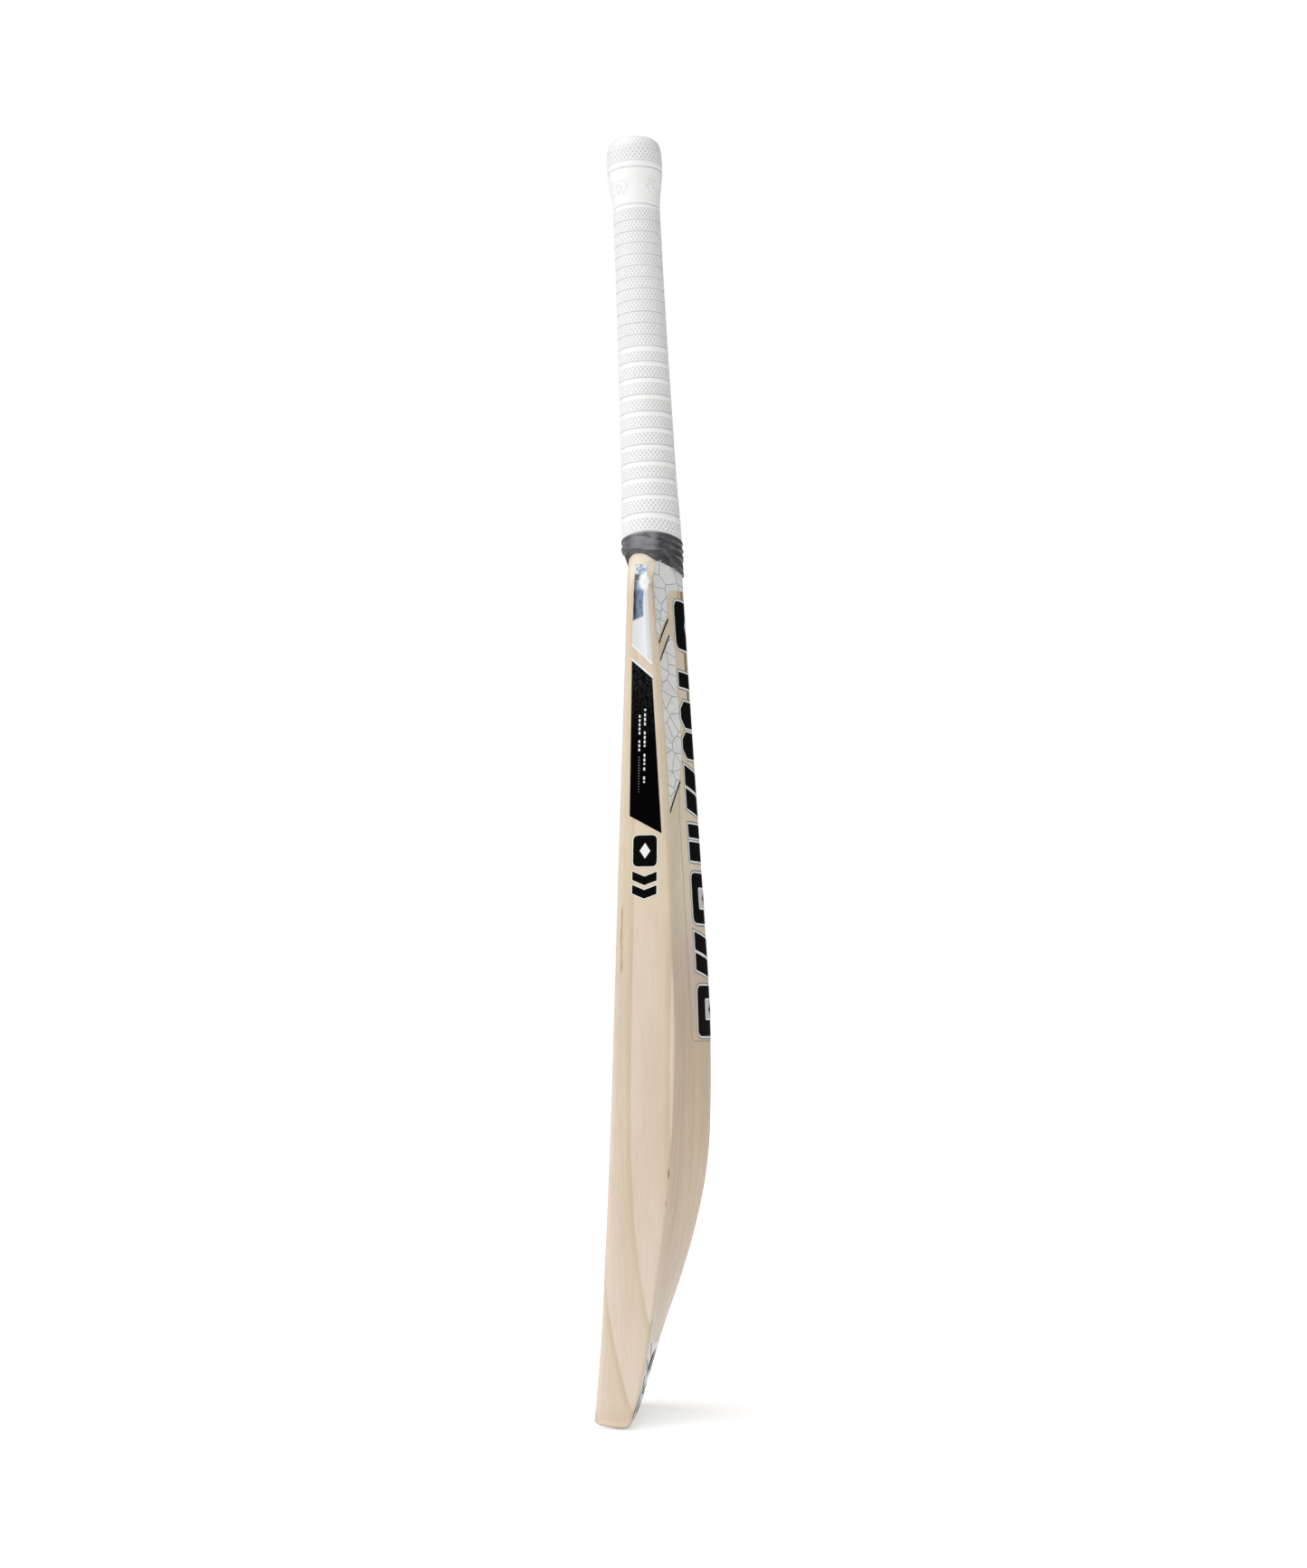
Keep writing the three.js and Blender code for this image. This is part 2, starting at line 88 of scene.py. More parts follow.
def smooth(places, values, at):
    """A smooth curve through the places, read at one or many."""
    xs, ys = np.asarray(places, float), np.asarray(values, float)
    at = np.asarray(at, float)
    i = np.clip(np.searchsorted(xs, at, side="right") - 1, 0, len(xs) - 2)
    before = np.maximum(np.arange(len(xs)) - 1, 0)
    after = np.minimum(np.arange(len(xs)) + 1, len(xs) - 1)
    tangent = (ys[after] - ys[before]) / (xs[after] - xs[before])
    span = xs[i + 1] - xs[i]
    t = (at - xs[i]) / span
    blend = t * t * (3 - 2 * t)
    return (
        ys[i] * (1 - blend)
        + ys[i + 1] * blend
        + span * (t * (1 - t) ** 2 * tangent[i] + t * t * (t - 1) * tangent[i + 1])
    )


def soften(share):
    return np.hypot(share, SPINE_ROUNDING) - SPINE_ROUNDING


def face_at(x, z):
    return smooth(HEIGHTS, FACE, z) - FACE_CROWN * (1 - (np.asarray(x) / HALF_WIDTH) ** 2)


def back_at(x, z):
    share = np.minimum(np.abs(x) / HALF_WIDTH, 1)
    bulge = (1 - soften(share) / soften(1)) ** BACK_HOLLOW
    edge, spine = smooth(HEIGHTS, EDGE, z), smooth(HEIGHTS, SPINE, z)
    return smooth(HEIGHTS, FACE, z) + edge + (spine - edge) * bulge


def half_width(z):
    up = np.clip((z - BLADE_TOP + SHOULDER_DROP) / SHOULDER_DROP, 0, 1)
    shoulder = NECK + (OUTLINE - NECK) * np.sqrt(1 - up**2)
    low = np.clip((TOE_CORNER - z) / TOE_CORNER, 0, 1)
    toe = OUTLINE - TOE_CORNER + TOE_CORNER * np.sqrt(1 - low**2)
    return np.minimum(HALF_WIDTH, np.minimum(shoulder, toe))


def rise(value, low, high):
    """0 below low, 1 above high (or the other way round), smooth between."""
    t = np.clip((value - low) / (high - low), 0, 1)
    return t * t * (3 - 2 * t)


def back_corner(z):
    low, high = BACK_CORNER
    return low + (high - low) * float(rise(z, *BACK_CORNER_HEIGHTS))


def shoulder_pull(x, z):
    """How far the shoulders' rounded tops have pulled the face and back in."""
    wide, tall = OUTLINE - NECK, SHOULDER_DROP
    out = np.clip(np.abs(x) - NECK, 0, wide) / wide
    up = max(z - BLADE_TOP + SHOULDER_DROP, 0) / tall
    slope = np.hypot(out / wide, up / tall)
    depth = (1 - out**2 - up**2) / np.maximum(2 * slope, 1e-6)
    reach, drop = SHOULDER_ROUND
    short = np.clip(1 - depth / drop, 0, 1)
    return reach * (1 - np.sqrt(1 - short**2)) * float(rise(up, 0.1, 0.75)) * rise(np.abs(x), 12, 26)


def half_section(z, inset):
    """One half of a level cut through the blade, from the middle of the face round to the spine."""
    w = float(half_width(z)) - inset
    corner = back_corner(z)
    points = [(x, float(face_at(x, z)) + inset) for x in np.linspace(0, w - FACE_CORNER, 15)]
    low = float(face_at(w - FACE_CORNER, z)) + inset + FACE_CORNER
    high = float(back_at(w, z)) - inset - corner
    for angle in np.radians(np.linspace(-90, 0, 8)[1:]):
        points.append((w - FACE_CORNER + FACE_CORNER * math.cos(angle), low + FACE_CORNER * math.sin(angle)))
    for t in np.linspace(0, 1, 12)[1:-1]:
        points.append((w, low + (high - low) * t))
    for share in np.linspace(0, 1, 9):
        angle = share * math.pi / 2
        x = w - corner + corner * math.cos(angle)
        lift = float(back_at(x, z) - back_at(w, z)) * share
        points.append((x, high + corner * math.sin(angle) + lift))
    reach = w - corner
    for share in 1 - np.linspace(0, 1, 27)[1:] ** 0.8:
        x = reach * share
        points.append((x, float(back_at(x, z)) - inset))
    return points


def body_ring(z, inset=0.0):
    """A ring of points round the blade's body, with the toe's slant and the shoulders' rounding."""
    right = half_section(z, inset)
    ring = np.array(right + [(-x, y) for x, y in reversed(right[1:-1])])
    x, y = ring[:, 0], ring[:, 1]
    pull = shoulder_pull(x, z)
    middle = (face_at(x, z) + back_at(x, z)) / 2
    near, far = face_at(x, z) + inset + pull, back_at(x, z) - inset - pull
    y = np.where(pull > 0, np.clip(y, np.minimum(near, middle), np.maximum(far, middle)), y)
    side = smooth(HEIGHTS, EDGE, z) / 2
    across = (y - smooth(HEIGHTS, FACE, z) - side) / side
    near_edge = np.clip(np.abs(x) - half_width(z) + 4, 0, 4) / 4
    x = x - np.sign(x) * EDGE_CROWN * near_edge * np.clip(across, -1, 1) ** 2
    fade = np.clip(1 - z / TOE_BLEND, 0, 1) ** 2
    height = z + np.interp(y, TOE_SLANT_Y, TOE_SLANT_Z) * fade
    return np.column_stack([x, y, height])


# ---------------------------------------------------------------- mesh helpers

def to_frame(points):
    points = np.asarray(points, float).copy()
    points[..., 1] += SHIFT_Y
    return points * MM


def add_object(name, data):
    thing = bpy.data.objects.new(name, data)
    bpy.context.scene.collection.objects.link(thing)
    return thing


def new_piece(name, vertices, faces, sharp=35):
    """A smooth-shaded mesh object from points in the drawing's millimetres."""
    mesh = bpy.data.meshes.new(name)
    mesh.from_pydata([tuple(v) for v in to_frame(vertices)], [], faces)
    mesh.validate()
    return finish_piece(name, mesh, sharp)


def finish_piece(name, mesh, sharp=35):
    mesh.polygons.foreach_set("use_smooth", [True] * len(mesh.polygons))
    mesh.set_sharp_from_angle(angle=math.radians(sharp))
    mesh.update()
    return add_object(name, mesh)


def loft(rings, closed_ends=True, ring_loop=False):
    """Vertices and faces of a skin over rings that all have the same number of points."""
    count = len(rings[0])
    vertices = [tuple(p) for ring in rings for p in ring]
    faces = []
    last = len(rings) if ring_loop else len(rings) - 1
    for r in range(last):
        a, b = r * count, ((r + 1) % len(rings)) * count
        for i in range(count):
            j = (i + 1) % count
            faces.append((a + i, a + j, b + j, b + i))
    if closed_ends and not ring_loop:
        for ring, flip in ((0, True), (len(rings) - 1, False)):
            centre = len(vertices)
            vertices.append(tuple(np.mean(rings[ring], axis=0)))
            for i in range(count):
                j = (i + 1) % count
                a, b = ring * count + i, ring * count + j
                faces.append((centre, b, a) if flip else (centre, a, b))
    return vertices, faces


def cut(piece, cutter, operation):
    """The piece's mesh after a boolean with the cutter, which is then removed."""
    modifier = piece.modifiers.new("cut", "BOOLEAN")
    modifier.object = cutter
    modifier.operation = operation
    modifier.solver = "EXACT"
    bpy.context.view_layer.update()
    graph = bpy.context.evaluated_depsgraph_get()
    mesh = bpy.data.meshes.new_from_object(piece.evaluated_get(graph))
    mesh.name = piece.name
    piece.modifiers.clear()
    piece.data = mesh
    mesh.set_sharp_from_angle(angle=math.radians(35))
    bpy.data.objects.remove(cutter)


# ---------------------------------------------------------------- materials

def srgb(red, green, blue):
    """A colour from 0-255 screen values."""
    def linear(value):
        value /= 255
        return value / 12.92 if value <= 0.04045 else ((value + 0.055) / 1.055) ** 2.4

    return (linear(red), linear(green), linear(blue), 1)


class Look:
    """A node material under construction. The settings are inputs of its shader, with _ for each space."""

    def __init__(self, name, **settings):
        self.material = bpy.data.materials.new(name)
        self.material.use_nodes = True
        self.tree = self.material.node_tree
        self.tree.nodes.clear()
        self.shader = self.tree.nodes.new("ShaderNodeBsdfPrincipled")
        output = self.tree.nodes.new("ShaderNodeOutputMaterial")
        self.tree.links.new(self.shader.outputs[0], output.inputs[0])
        for key, value in settings.items():
            self.shader.inputs[key.replace("_", " ")].default_value = value

    def add(self, kind, inputs=(), **properties):
        node = self.tree.nodes.new("ShaderNode" + kind)
        for key, value in properties.items():
            setattr(node, key, value)
        for key, value in dict(inputs).items():
            self.put(node.inputs[key], value)
        return node

    def put(self, socket, value):
        if isinstance(value, bpy.types.NodeSocket):
            self.tree.links.new(value, socket)
        else:
            socket.default_value = value

    def set(self, name, value):
        self.put(self.shader.inputs[name], value)

    def math(self, operation, *values, clamp=False):
        return self.add("Math", enumerate(values), operation=operation, use_clamp=clamp).outputs[0]

    def times(self, *values):
        return reduce(lambda total, value: self.math("MULTIPLY", total, value), values)

    def plus(self, *values):
        return reduce(lambda total, value: self.math("ADD", total, value), values)

    def minus(self, first, second):
        return self.math("SUBTRACT", first, second)

    def size(self, value):
        return self.math("ABSOLUTE", value)

    def line(self, value, slope, start):
        """slope * value + start."""
        return self.math("MULTIPLY_ADD", value, slope, start)

    def position(self):
        """The place on the bat, in the drawing's millimetres."""
        scaled = self.stretch(self.add("TexCoord").outputs["Object"], (1000, 1000, 1000))
        return self.add("VectorMath", {0: scaled, 1: (0, -SHIFT_Y, 0)}, operation="ADD").outputs[0]

    def stretch(self, vector, scale):
        return self.add("VectorMath", {0: vector, 1: scale}, operation="MULTIPLY").outputs[0]

    def distance(self, place, scale, centre):
        """How far a place is from the centre, once each axis is scaled."""
        ends = {0: self.stretch(place, scale), 1: tuple(c * s for c, s in zip(centre, scale))}
        return self.add("VectorMath", ends, operation="DISTANCE").outputs["Value"]

    def split(self, vector):
        node = self.add("SeparateXYZ", {0: vector})
        return node.outputs[0], node.outputs[1], node.outputs[2]

    def noise(self, place, scale=1.0, detail=3.0, roughness=0.5):
        """Cloudy noise, scaled by one number or by one for each axis."""
        if isinstance(scale, tuple):
            place, scale = self.stretch(place, scale), 1.0
        inputs = {"Vector": place, "Scale": scale, "Detail": detail, "Roughness": roughness}
        return self.add("TexNoise", inputs).outputs["Fac"]

    def cells(self, place, scale=1.0, feature="DISTANCE_TO_EDGE", output="Distance", dimensions="3D"):
        """A pattern of cells: by default, the distance from the nearest cell's edge."""
        inputs = {"Vector": place, "Scale": scale}
        node = self.add("TexVoronoi", inputs, voronoi_dimensions=dimensions, feature=feature)
        return node.outputs[output]

    def ramp(self, value, stops):
        node = self.add("ValToRGB", {0: value})
        elements = node.color_ramp.elements
        while len(elements) < len(stops):
            elements.new(0.5)
        for element, (place, colour) in zip(elements, stops):
            element.position = place
            element.color = colour if len(colour) == 4 else (*colour, 1)
        return node.outputs[0]

    def tones(self, value, *stops):
        """A ramp over screen colours, each after its place."""
        return self.ramp(value, [(place, srgb(*colour)) for place, *colour in stops])

    def step(self, value, low, high):
        """0 below low, 1 above high (or the other way round), smooth between."""
        inputs = {"Value": value, "From Min": low, "From Max": high}
        return self.add("MapRange", inputs, interpolation_type="SMOOTHSTEP").outputs[0]

    def between(self, value, low, full, ebb, high):
        """1 from full to ebb, falling smoothly to 0 at low and at high."""
        return self.times(self.step(value, low, full), self.step(value, high, ebb))

    def mix(self, factor, first, second, blend="MIX"):
        node = self.add("Mix", data_type="RGBA", blend_type=blend)
        self.put(node.inputs[0], factor)
        self.put(node.inputs[6], first)
        self.put(node.inputs[7], second)
        return node.outputs[2]

    def paint(self, colour, where, over, share=1.0):
        """The colour with a screen colour over it where the mask is 1, as opaque as the share."""
        return self.mix(self.times(where, share), colour, srgb(*over))

    def bump(self, height, distance, strength=1.0):
        node = self.add("Bump", {"Height": height, "Distance": distance * MM, "Strength": strength})
        self.set("Normal", node.outputs[0])


RING_PITCH = 9.6
RING_PHASE = 294.8
RING_LEAN = 0.41
RING_BEND, RING_BEND_TOP = 0.00077, 200
WILLOW_PALE = (224, 208, 192)
WILLOW_WARM = (216, 199, 174)
WILLOW_LINE = (188, 164, 132)
WILLOW_SHOULDER_HIGHLIGHT = (246, 234, 214)  # painted highlight: paler along the shoulders' tops
WILLOW_UPPER = (247, 234, 206)  # above the middle, most of all on the back
WILLOW_TOE_SHADE = (192, 170, 142)  # painted shade: darker near the toe, against the floor's glow
WILLOW_TAN = (212, 188, 150)  # low on the back: a darker, warmer tone
STAIN_Y = -15.2
RIDGE_NICKS = [(160.5, 0.8), (149, 0.42), (142, 0.55)]  # height and radius


def willow_look():
    look = Look("willow", Roughness=0.5, Coat_Weight=0.12, Coat_Roughness=0.3)
    place = look.position()
    x, y, z = look.split(place)
    # near the edges the rings lean and bend towards the toe
    sideways = look.step(look.size(x), 40, 54)
    drift = look.minus(look.noise(place, (0.02, 0.02, 0.004), detail=2), 0.5)
    wander = look.times(drift, look.line(sideways, -8, 10))
    drop = look.math("MAXIMUM", look.minus(RING_BEND_TOP, z), 0)
    lean = look.times(look.plus(y, look.times(drop, drop, -RING_BEND)), RING_LEAN, sideways)
    ring = look.math("DIVIDE", look.plus(x, wander, lean, RING_PHASE), RING_PITCH)
    within = look.math("FRACT", ring)
    ring_line = look.between(within, 0.8, 0.95, 0.97, 1.0)
    tone = look.add("TexWhiteNoise", {"W": look.math("FLOOR", ring)}, noise_dimensions="1D").outputs["Value"]
    calm = look.line(sideways, 0.5, 0.5)
    late = look.times(look.step(within, 0.15, 0.9), look.line(tone, 0.6, 0.4), calm)
    colour = look.mix(late, srgb(*WILLOW_PALE), srgb(*WILLOW_WARM))
    fade = look.noise(place, (0.05, 0.05, 0.012), detail=2)
    strength = look.times(ring_line, look.math("MULTIPLY_ADD", fade, 0.9, 0.1, clamp=True))
    colour = look.paint(colour, strength, WILLOW_LINE, look.line(calm, 0.5, 0.05))
    # the back's flanks are darker low down, and the wood is paler above its middle
    flank = look.times(look.step(look.size(x), 53.4, 51.4), look.step(y, 0, 4))
    low_flank = look.times(flank, look.between(z, 50, 150, 240, 310))
    streak = look.step(look.noise(place, (0.16, 0.16, 0.004), detail=3, roughness=0.6), 0.35, 0.65)
    colour = look.paint(colour, low_flank, WILLOW_TAN, look.line(streak, 0.55, 0.25))
    colour = look.paint(colour, look.line(flank, 0.4, 0.25), WILLOW_UPPER, look.step(z, 285, 340))
    fibre = look.noise(place, (2.2, 2.2, 0.05), detail=4, roughness=0.6)
    fine = look.ramp(fibre, [(0.32, (0.84, 0.815, 0.77)), (0.6, (1.0, 1.0, 1.0))])
    colour = look.mix(0.55, colour, fine, "MULTIPLY")
    cloud = look.noise(place, (0.035, 0.035, 0.009), detail=3)
    broad = look.ramp(cloud, [(0.32, (0.9, 0.875, 0.83)), (0.62, (1.0, 1.0, 1.0))])
    colour = look.mix(0.8, colour, broad, "MULTIPLY")
    # painted highlight along the shoulders' tops
    colour = look.paint(colour, look.step(z, 528, 552), WILLOW_SHOULDER_HIGHLIGHT, 0.65)
    # painted shade near the toe, against the floor's glow
    colour = look.paint(colour, look.step(z, 20, 2), WILLOW_TOE_SHADE, 0.4)
    speck = look.noise(place, (1.3, 1.3, 0.35), detail=1)
    colour = look.paint(colour, look.step(speck, 0.72, 0.8), (150, 120, 84), 0.25)
    # a brown stain beside the face, on the right edge
    ragged = look.times(look.noise(place, (0.9, 0.9, 0.12), detail=4), 2.6)
    stain = look.step(look.plus(look.size(look.minus(y, STAIN_Y)), ragged), 2.1, 1.2)
    stretch_of_edge = look.times(look.between(z, 284, 290, 325, 331), look.step(x, 44, 50))
    colour = look.paint(colour, look.times(stain, stretch_of_edge), (170, 128, 78), 0.75)
    for height, reach in RIDGE_NICKS:
        ridge = float(back_at(HALF_WIDTH, height))
        away = look.distance(place, (1, 1, 0.16), (HALF_WIDTH - 0.8, ridge - 1.4, height))
        colour = look.paint(colour, look.step(away, reach, reach * 0.45), (92, 78, 62), 0.85)
    look.set("Base Color", colour)
    look.set("Roughness", look.line(fibre, 0.12, 0.42))
    look.bump(look.plus(fibre, look.times(ring_line, -0.5)), 0.12, 0.5)
    return look.material


def cane_look():
    look = Look("cane", Roughness=0.5)
    place = look.position()
    fibre = look.noise(place, (1.8, 1.8, 0.06), detail=4)
    colour = look.tones(fibre, (0.3, 198, 170, 128), (0.52, 218, 195, 156), (0.7, 230, 210, 176))
    pores = look.noise(place, (3.5, 3.5, 0.4), detail=1)
    look.set("Base Color", look.paint(colour, look.step(pores, 0.62, 0.7), (110, 78, 44), 0.6))
    look.bump(fibre, 0.1, 0.6)
    return look.material


def spring_look():
    look = Look("spring_rubber", Roughness=0.8)
    grit = look.noise(look.position(), 2.0)
    look.set("Base Color", look.tones(grit, (0.3, 44, 34, 28), (0.7, 70, 56, 46)))
    look.bump(grit, 0.05, 0.5)
    return look.material


TWINE_PITCH = 1.1


def twine_look():
    look = Look("twine", Roughness=0.85)
    place = look.position()
    _, _, z = look.split(place)
    thread = look.math("SINE", look.times(z, 2 * math.pi / TWINE_PITCH))
    fuzz = look.noise(place, 3.0)
    look.set("Base Color", look.tones(fuzz, (0.3, 188, 170, 132), (0.7, 218, 204, 170)))
    look.bump(thread, 0.3, 0.8)
    return look.material


def grip_look():
    look = Look("grip_rubber", Roughness=0.48)
    place = look.position()
    dust = look.noise(place, 0.05, detail=4)
    mottle = look.noise(place, 0.9, detail=2)
    colour = look.paint(srgb(250, 250, 249), look.step(dust, 0.42, 0.68), (243, 243, 241), 0.35)
    colour = look.paint(colour, look.step(mottle, 0.55, 0.75), (226, 226, 223), 0.12)
    # painted shade in the pits, ring grooves, taper and emboss outline, read from the sleeve's attribute
    hollow_shade = look.add("Attribute", attribute_type="GEOMETRY", attribute_name="hollow_shade").outputs["Fac"]
    look.set("Base Color", look.paint(colour, hollow_shade, (186, 187, 187), 0.8))
    look.set("Roughness", look.line(mottle, 0.2, 0.4))
    look.bump(look.noise(place, 5.0, detail=2), 0.03, 0.4)
    return look.material


WEAVE_PITCH = 0.5


def tape_look():
    look = Look("cloth_tape", Roughness=0.42, Specular_IOR_Level=0.45)
    place = look.position()
    x, y, z = look.split(place)
    weft = look.math("SINE", look.times(look.plus(z, look.times(y, 0.15)), 2 * math.pi / WEAVE_PITCH))
    warp = look.math("SINE", look.times(look.plus(x, y), 2 * math.pi / WEAVE_PITCH))
    crease = look.noise(place, (0.1, 0.1, 0.45), detail=3)
    worn = look.noise(place, 0.12, detail=3)
    colour = look.tones(crease, (0.3, 60, 60, 62), (0.55, 78, 78, 81), (0.75, 98, 98, 101))
    colour = look.paint(colour, look.step(worn, 0.48, 0.7), (124, 124, 127), 0.35)
    # painted highlight: paler towards the right side of the face, where the light's sheen falls
    corner = look.times(look.step(y, 4, -2), look.step(z, 563.5, 566))
    painted_highlight = look.times(corner, look.line(look.step(y, -19, -9), 0.7, 0.3), look.step(crease, 0.25, 0.5))
    look.set("Base Color", look.paint(colour, painted_highlight, (152, 152, 155), 0.75))
    look.set("Roughness", look.line(crease, 0.2, 0.3))
    look.bump(look.plus(look.times(weft, warp, 0.2), look.times(crease, 0.8)), 0.2, 0.6)
    return look.material


def guard_look():
    look = Look("guard_plastic", Roughness=0.35)
    place = look.position()
    _, _, z = look.split(place)
    scuff = look.noise(place, 0.6, detail=5, roughness=0.7)
    # painted shade: greyer than the pale plastic, and darkest at its foot, against the floor's glow
    colour = look.tones(scuff, (0.35, 156, 153, 148), (0.6, 178, 175, 170))
    look.set("Base Color", look.paint(colour, look.step(z, 1.1, 0.3), (64, 62, 58), 0.85))
    look.set("Roughness", look.line(scuff, 0.5, 0.15))
    look.bump(scuff, 0.08, 0.5)
    return look.material


def print_look(name, colour, roughness=0.3, wear=0.06):
    """Printed vinyl in one colour, with a little dust and orange peel."""
    look = Look(name, Roughness=roughness, Specular_IOR_Level=0.02)
    place = look.position()
    dust = look.noise(place, 0.5, detail=4)
    faded = tuple(min(1, c + wear) for c in srgb(*colour)[:3]) + (1,)
    look.set("Base Color", look.mix(look.times(look.step(dust, 0.5, 0.75), 0.5), srgb(*colour), faded))
    look.set("Roughness", look.line(dust, 0.15, roughness))
    look.bump(look.noise(place, 1.5, detail=2), 0.02, 0.3)
    return look.material


def panel_look():
    look = Look("black_film", Roughness=0.4, Specular_IOR_Level=0.02)
    place = look.position()
    _, _, z = look.split(place)
    grain = look.noise(place, 1.1, detail=3, roughness=0.7)
    net = look.step(look.cells(place, 0.95), 0.2, 0.05)
    glint = look.times(look.step(z, 428, 482), net, look.step(grain, 0.42, 0.66))
    look.set("Base Color", look.paint(srgb(4, 4, 5), glint, (84, 86, 90), 0.6))
    look.set("Roughness", look.line(grain, 0.2, 0.22))
    look.bump(look.plus(grain, glint), 0.02, 0.4)
    return look.material


def film_look():
    """Silver film with a pattern of cracks, the same on both flanks of the back."""
    look = Look("grey_film", Roughness=0.35, Specular_IOR_Level=0.3)
    place = look.position()
    x, _, z = look.split(place)
    flat = look.add("CombineXYZ", {0: look.times(look.size(x), 0.055), 1: look.times(z, 0.105)}).outputs[0]
    edge = look.cells(flat, dimensions="2D")
    inner = look.cells(flat, 1.9, dimensions="2D")
    tone = look.split(look.cells(flat, feature="F1", output="Color", dimensions="2D"))[0]
    colour = look.tones(tone, (0.0, 238, 239, 237), (0.5, 244, 245, 243), (1.0, 249, 250, 248))
    colour = look.paint(colour, look.step(edge, 0.11, 0.05), (252, 253, 252), 0.5)
    some = look.step(look.noise(place, 0.06, detail=1), 0.5, 0.56)
    fine = look.times(look.step(inner, 0.03, 0.012), some, 0.6)
    crack = look.math("MAXIMUM", look.step(edge, 0.036, 0.016), fine)
    look.set("Base Color", look.paint(colour, crack, (132, 133, 133), 0.85))
    look.bump(look.plus(look.times(crack, -1), look.noise(place, 1.2)), 0.06, 0.4)
    return look.material


STAR_CENTRE = (-3.4, 538)  # of the glare in the foil


def foil_look():
    look = Look("mirror_foil", Metallic=0.08, Roughness=0.2, Coat_Weight=0.4, Coat_Roughness=0.08)
    place = look.position()
    _, y, z = look.split(place)
    ripple = look.noise(place, (1, 0.9, 0.16), detail=4, roughness=0.6)
    blotch = look.noise(place, (0.5, 0.5, 0.28), detail=3)
    wavy = look.line(ripple, 2.2, look.minus(y, 1.1))
    # painted reflection: the foil's bright silver is painted colour, and the dark and bluish patches below
    # stand in for what it reflects
    silver = look.mix(look.step(wavy, -10, -2), srgb(236, 237, 239), srgb(252, 253, 254))
    silver = look.paint(silver, look.step(ripple, 0.5, 0.7), (226, 229, 232), 0.4)
    # a dark reflection down the left of the middle, paler towards its right side
    navy = look.mix(look.step(wavy, -10.4, -8.2), srgb(42, 46, 58), srgb(140, 156, 182))
    navy = look.paint(navy, look.step(blotch, 0.45, 0.6), (96, 112, 140), 0.7)
    foot = look.step(look.line(y, -0.45, z), 516.6, 517.8)
    band = look.times(foot, look.step(z, 541.5, 540), look.step(wavy, -4.3, -5.5))
    colour = look.mix(band, silver, navy)
    # painted reflection: bluish mottle along the top and a dark navy corner
    mottle = look.mix(look.step(blotch, 0.42, 0.58), srgb(120, 138, 162), srgb(196, 208, 220))
    colour = look.mix(look.step(z, 539.5, 542), colour, mottle)
    corner = look.times(look.between(z, 537, 538.5, 542, 544), look.step(y, -6.5, -8))
    colour = look.paint(colour, corner, (44, 52, 74))
    # the glare's soft patch, and a greyer rim on the right
    away = look.distance(place, (0, 1, 0.7), (0, *STAR_CENTRE))
    colour = look.paint(colour, look.step(away, 6.0, 2.4), (255, 255, 255))
    rim = look.times(look.step(look.line(z, 0.0625, y), 28.6, 29.2), look.step(z, 541, 530))
    look.set("Base Color", look.paint(colour, rim, (150, 162, 178), 0.25))
    look.set("Roughness", look.line(ripple, 0.16, 0.1))
    look.bump(ripple, 0.05, 0.3)
    return look.material


LOOKS = {
    "willow": willow_look(),
    "cane": cane_look(),
    "spring_rubber": spring_look(),
    "twine": twine_look(),
    "grip_rubber": grip_look(),
    "cloth_tape": tape_look(),
    "guard_plastic": guard_look(),
    "mirror_foil": foil_look(),
    "grey_film": film_look(),
    "black_film": panel_look(),
}
WHITE_PRINT = print_look("white_print", (240, 240, 238), 0.35, 0.0)
GREY_PRINT = print_look("grey_print", (150, 151, 152), 0.35)
BLACK_PRINT = print_look("black_print", (8, 8, 9), 0.4, 0.008)
SLATE_PRINT = print_look("slate_print", (62, 61, 58), 0.4, 0.01)
SILVER_PRINT = print_look("silver_print", (206, 208, 209), 0.25, 0.02)


def dress(piece, slot, *materials):
    """Gives a piece its materials, by default the look that its slot names, and attaches it to the root body.
    """
    for material in materials or (LOOKS[slot],):
        piece.data.materials.append(material)
    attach(piece, "root")
    return piece



def dress_handle_core():
    """Better materials on the frame's own cane slips, springs and twine, which the grip hides."""
    for name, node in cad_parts.items():
        for prefix, slot in (("cane_slip", "cane"), ("spring", "spring_rubber"), ("twine", "twine")):
            if name.startswith(prefix):
                node.data.materials.clear()
                node.data.materials.append(LOOKS[slot])


dress_handle_core()

# ---------------------------------------------------------------- blade and toe guard

BODY_HEIGHTS = (
    list(np.arange(3.0, TOE_BLEND, 1.4))
    + list(np.arange(TOE_BLEND, BLADE_TOP - SHOULDER_DROP, 4.0))
    + [BLADE_TOP - SHOULDER_DROP * (1 - math.sin(a)) for a in np.radians(np.linspace(0, 90, 34))]
)


# heights and insets of the levels that round the foot of the blade, and of those of the toe guard
BLADE_FOOT = [(GUARD_TOP + 0.12, 0.45), (GUARD_TOP + 0.42, 0.08), (GUARD_TOP + 0.8, 0)]
GUARD_LEVELS = [(0, 1.2), (0.12, 0.7), (0.4, 0.3), (0.9, 0.04)]
GUARD_LEVELS += [(GUARD_TOP - 0.25, 0.04), (GUARD_TOP + 0.05, 0.45)]
WEDGE_PAST = 10  # the splice's cutter goes on past the blade's top


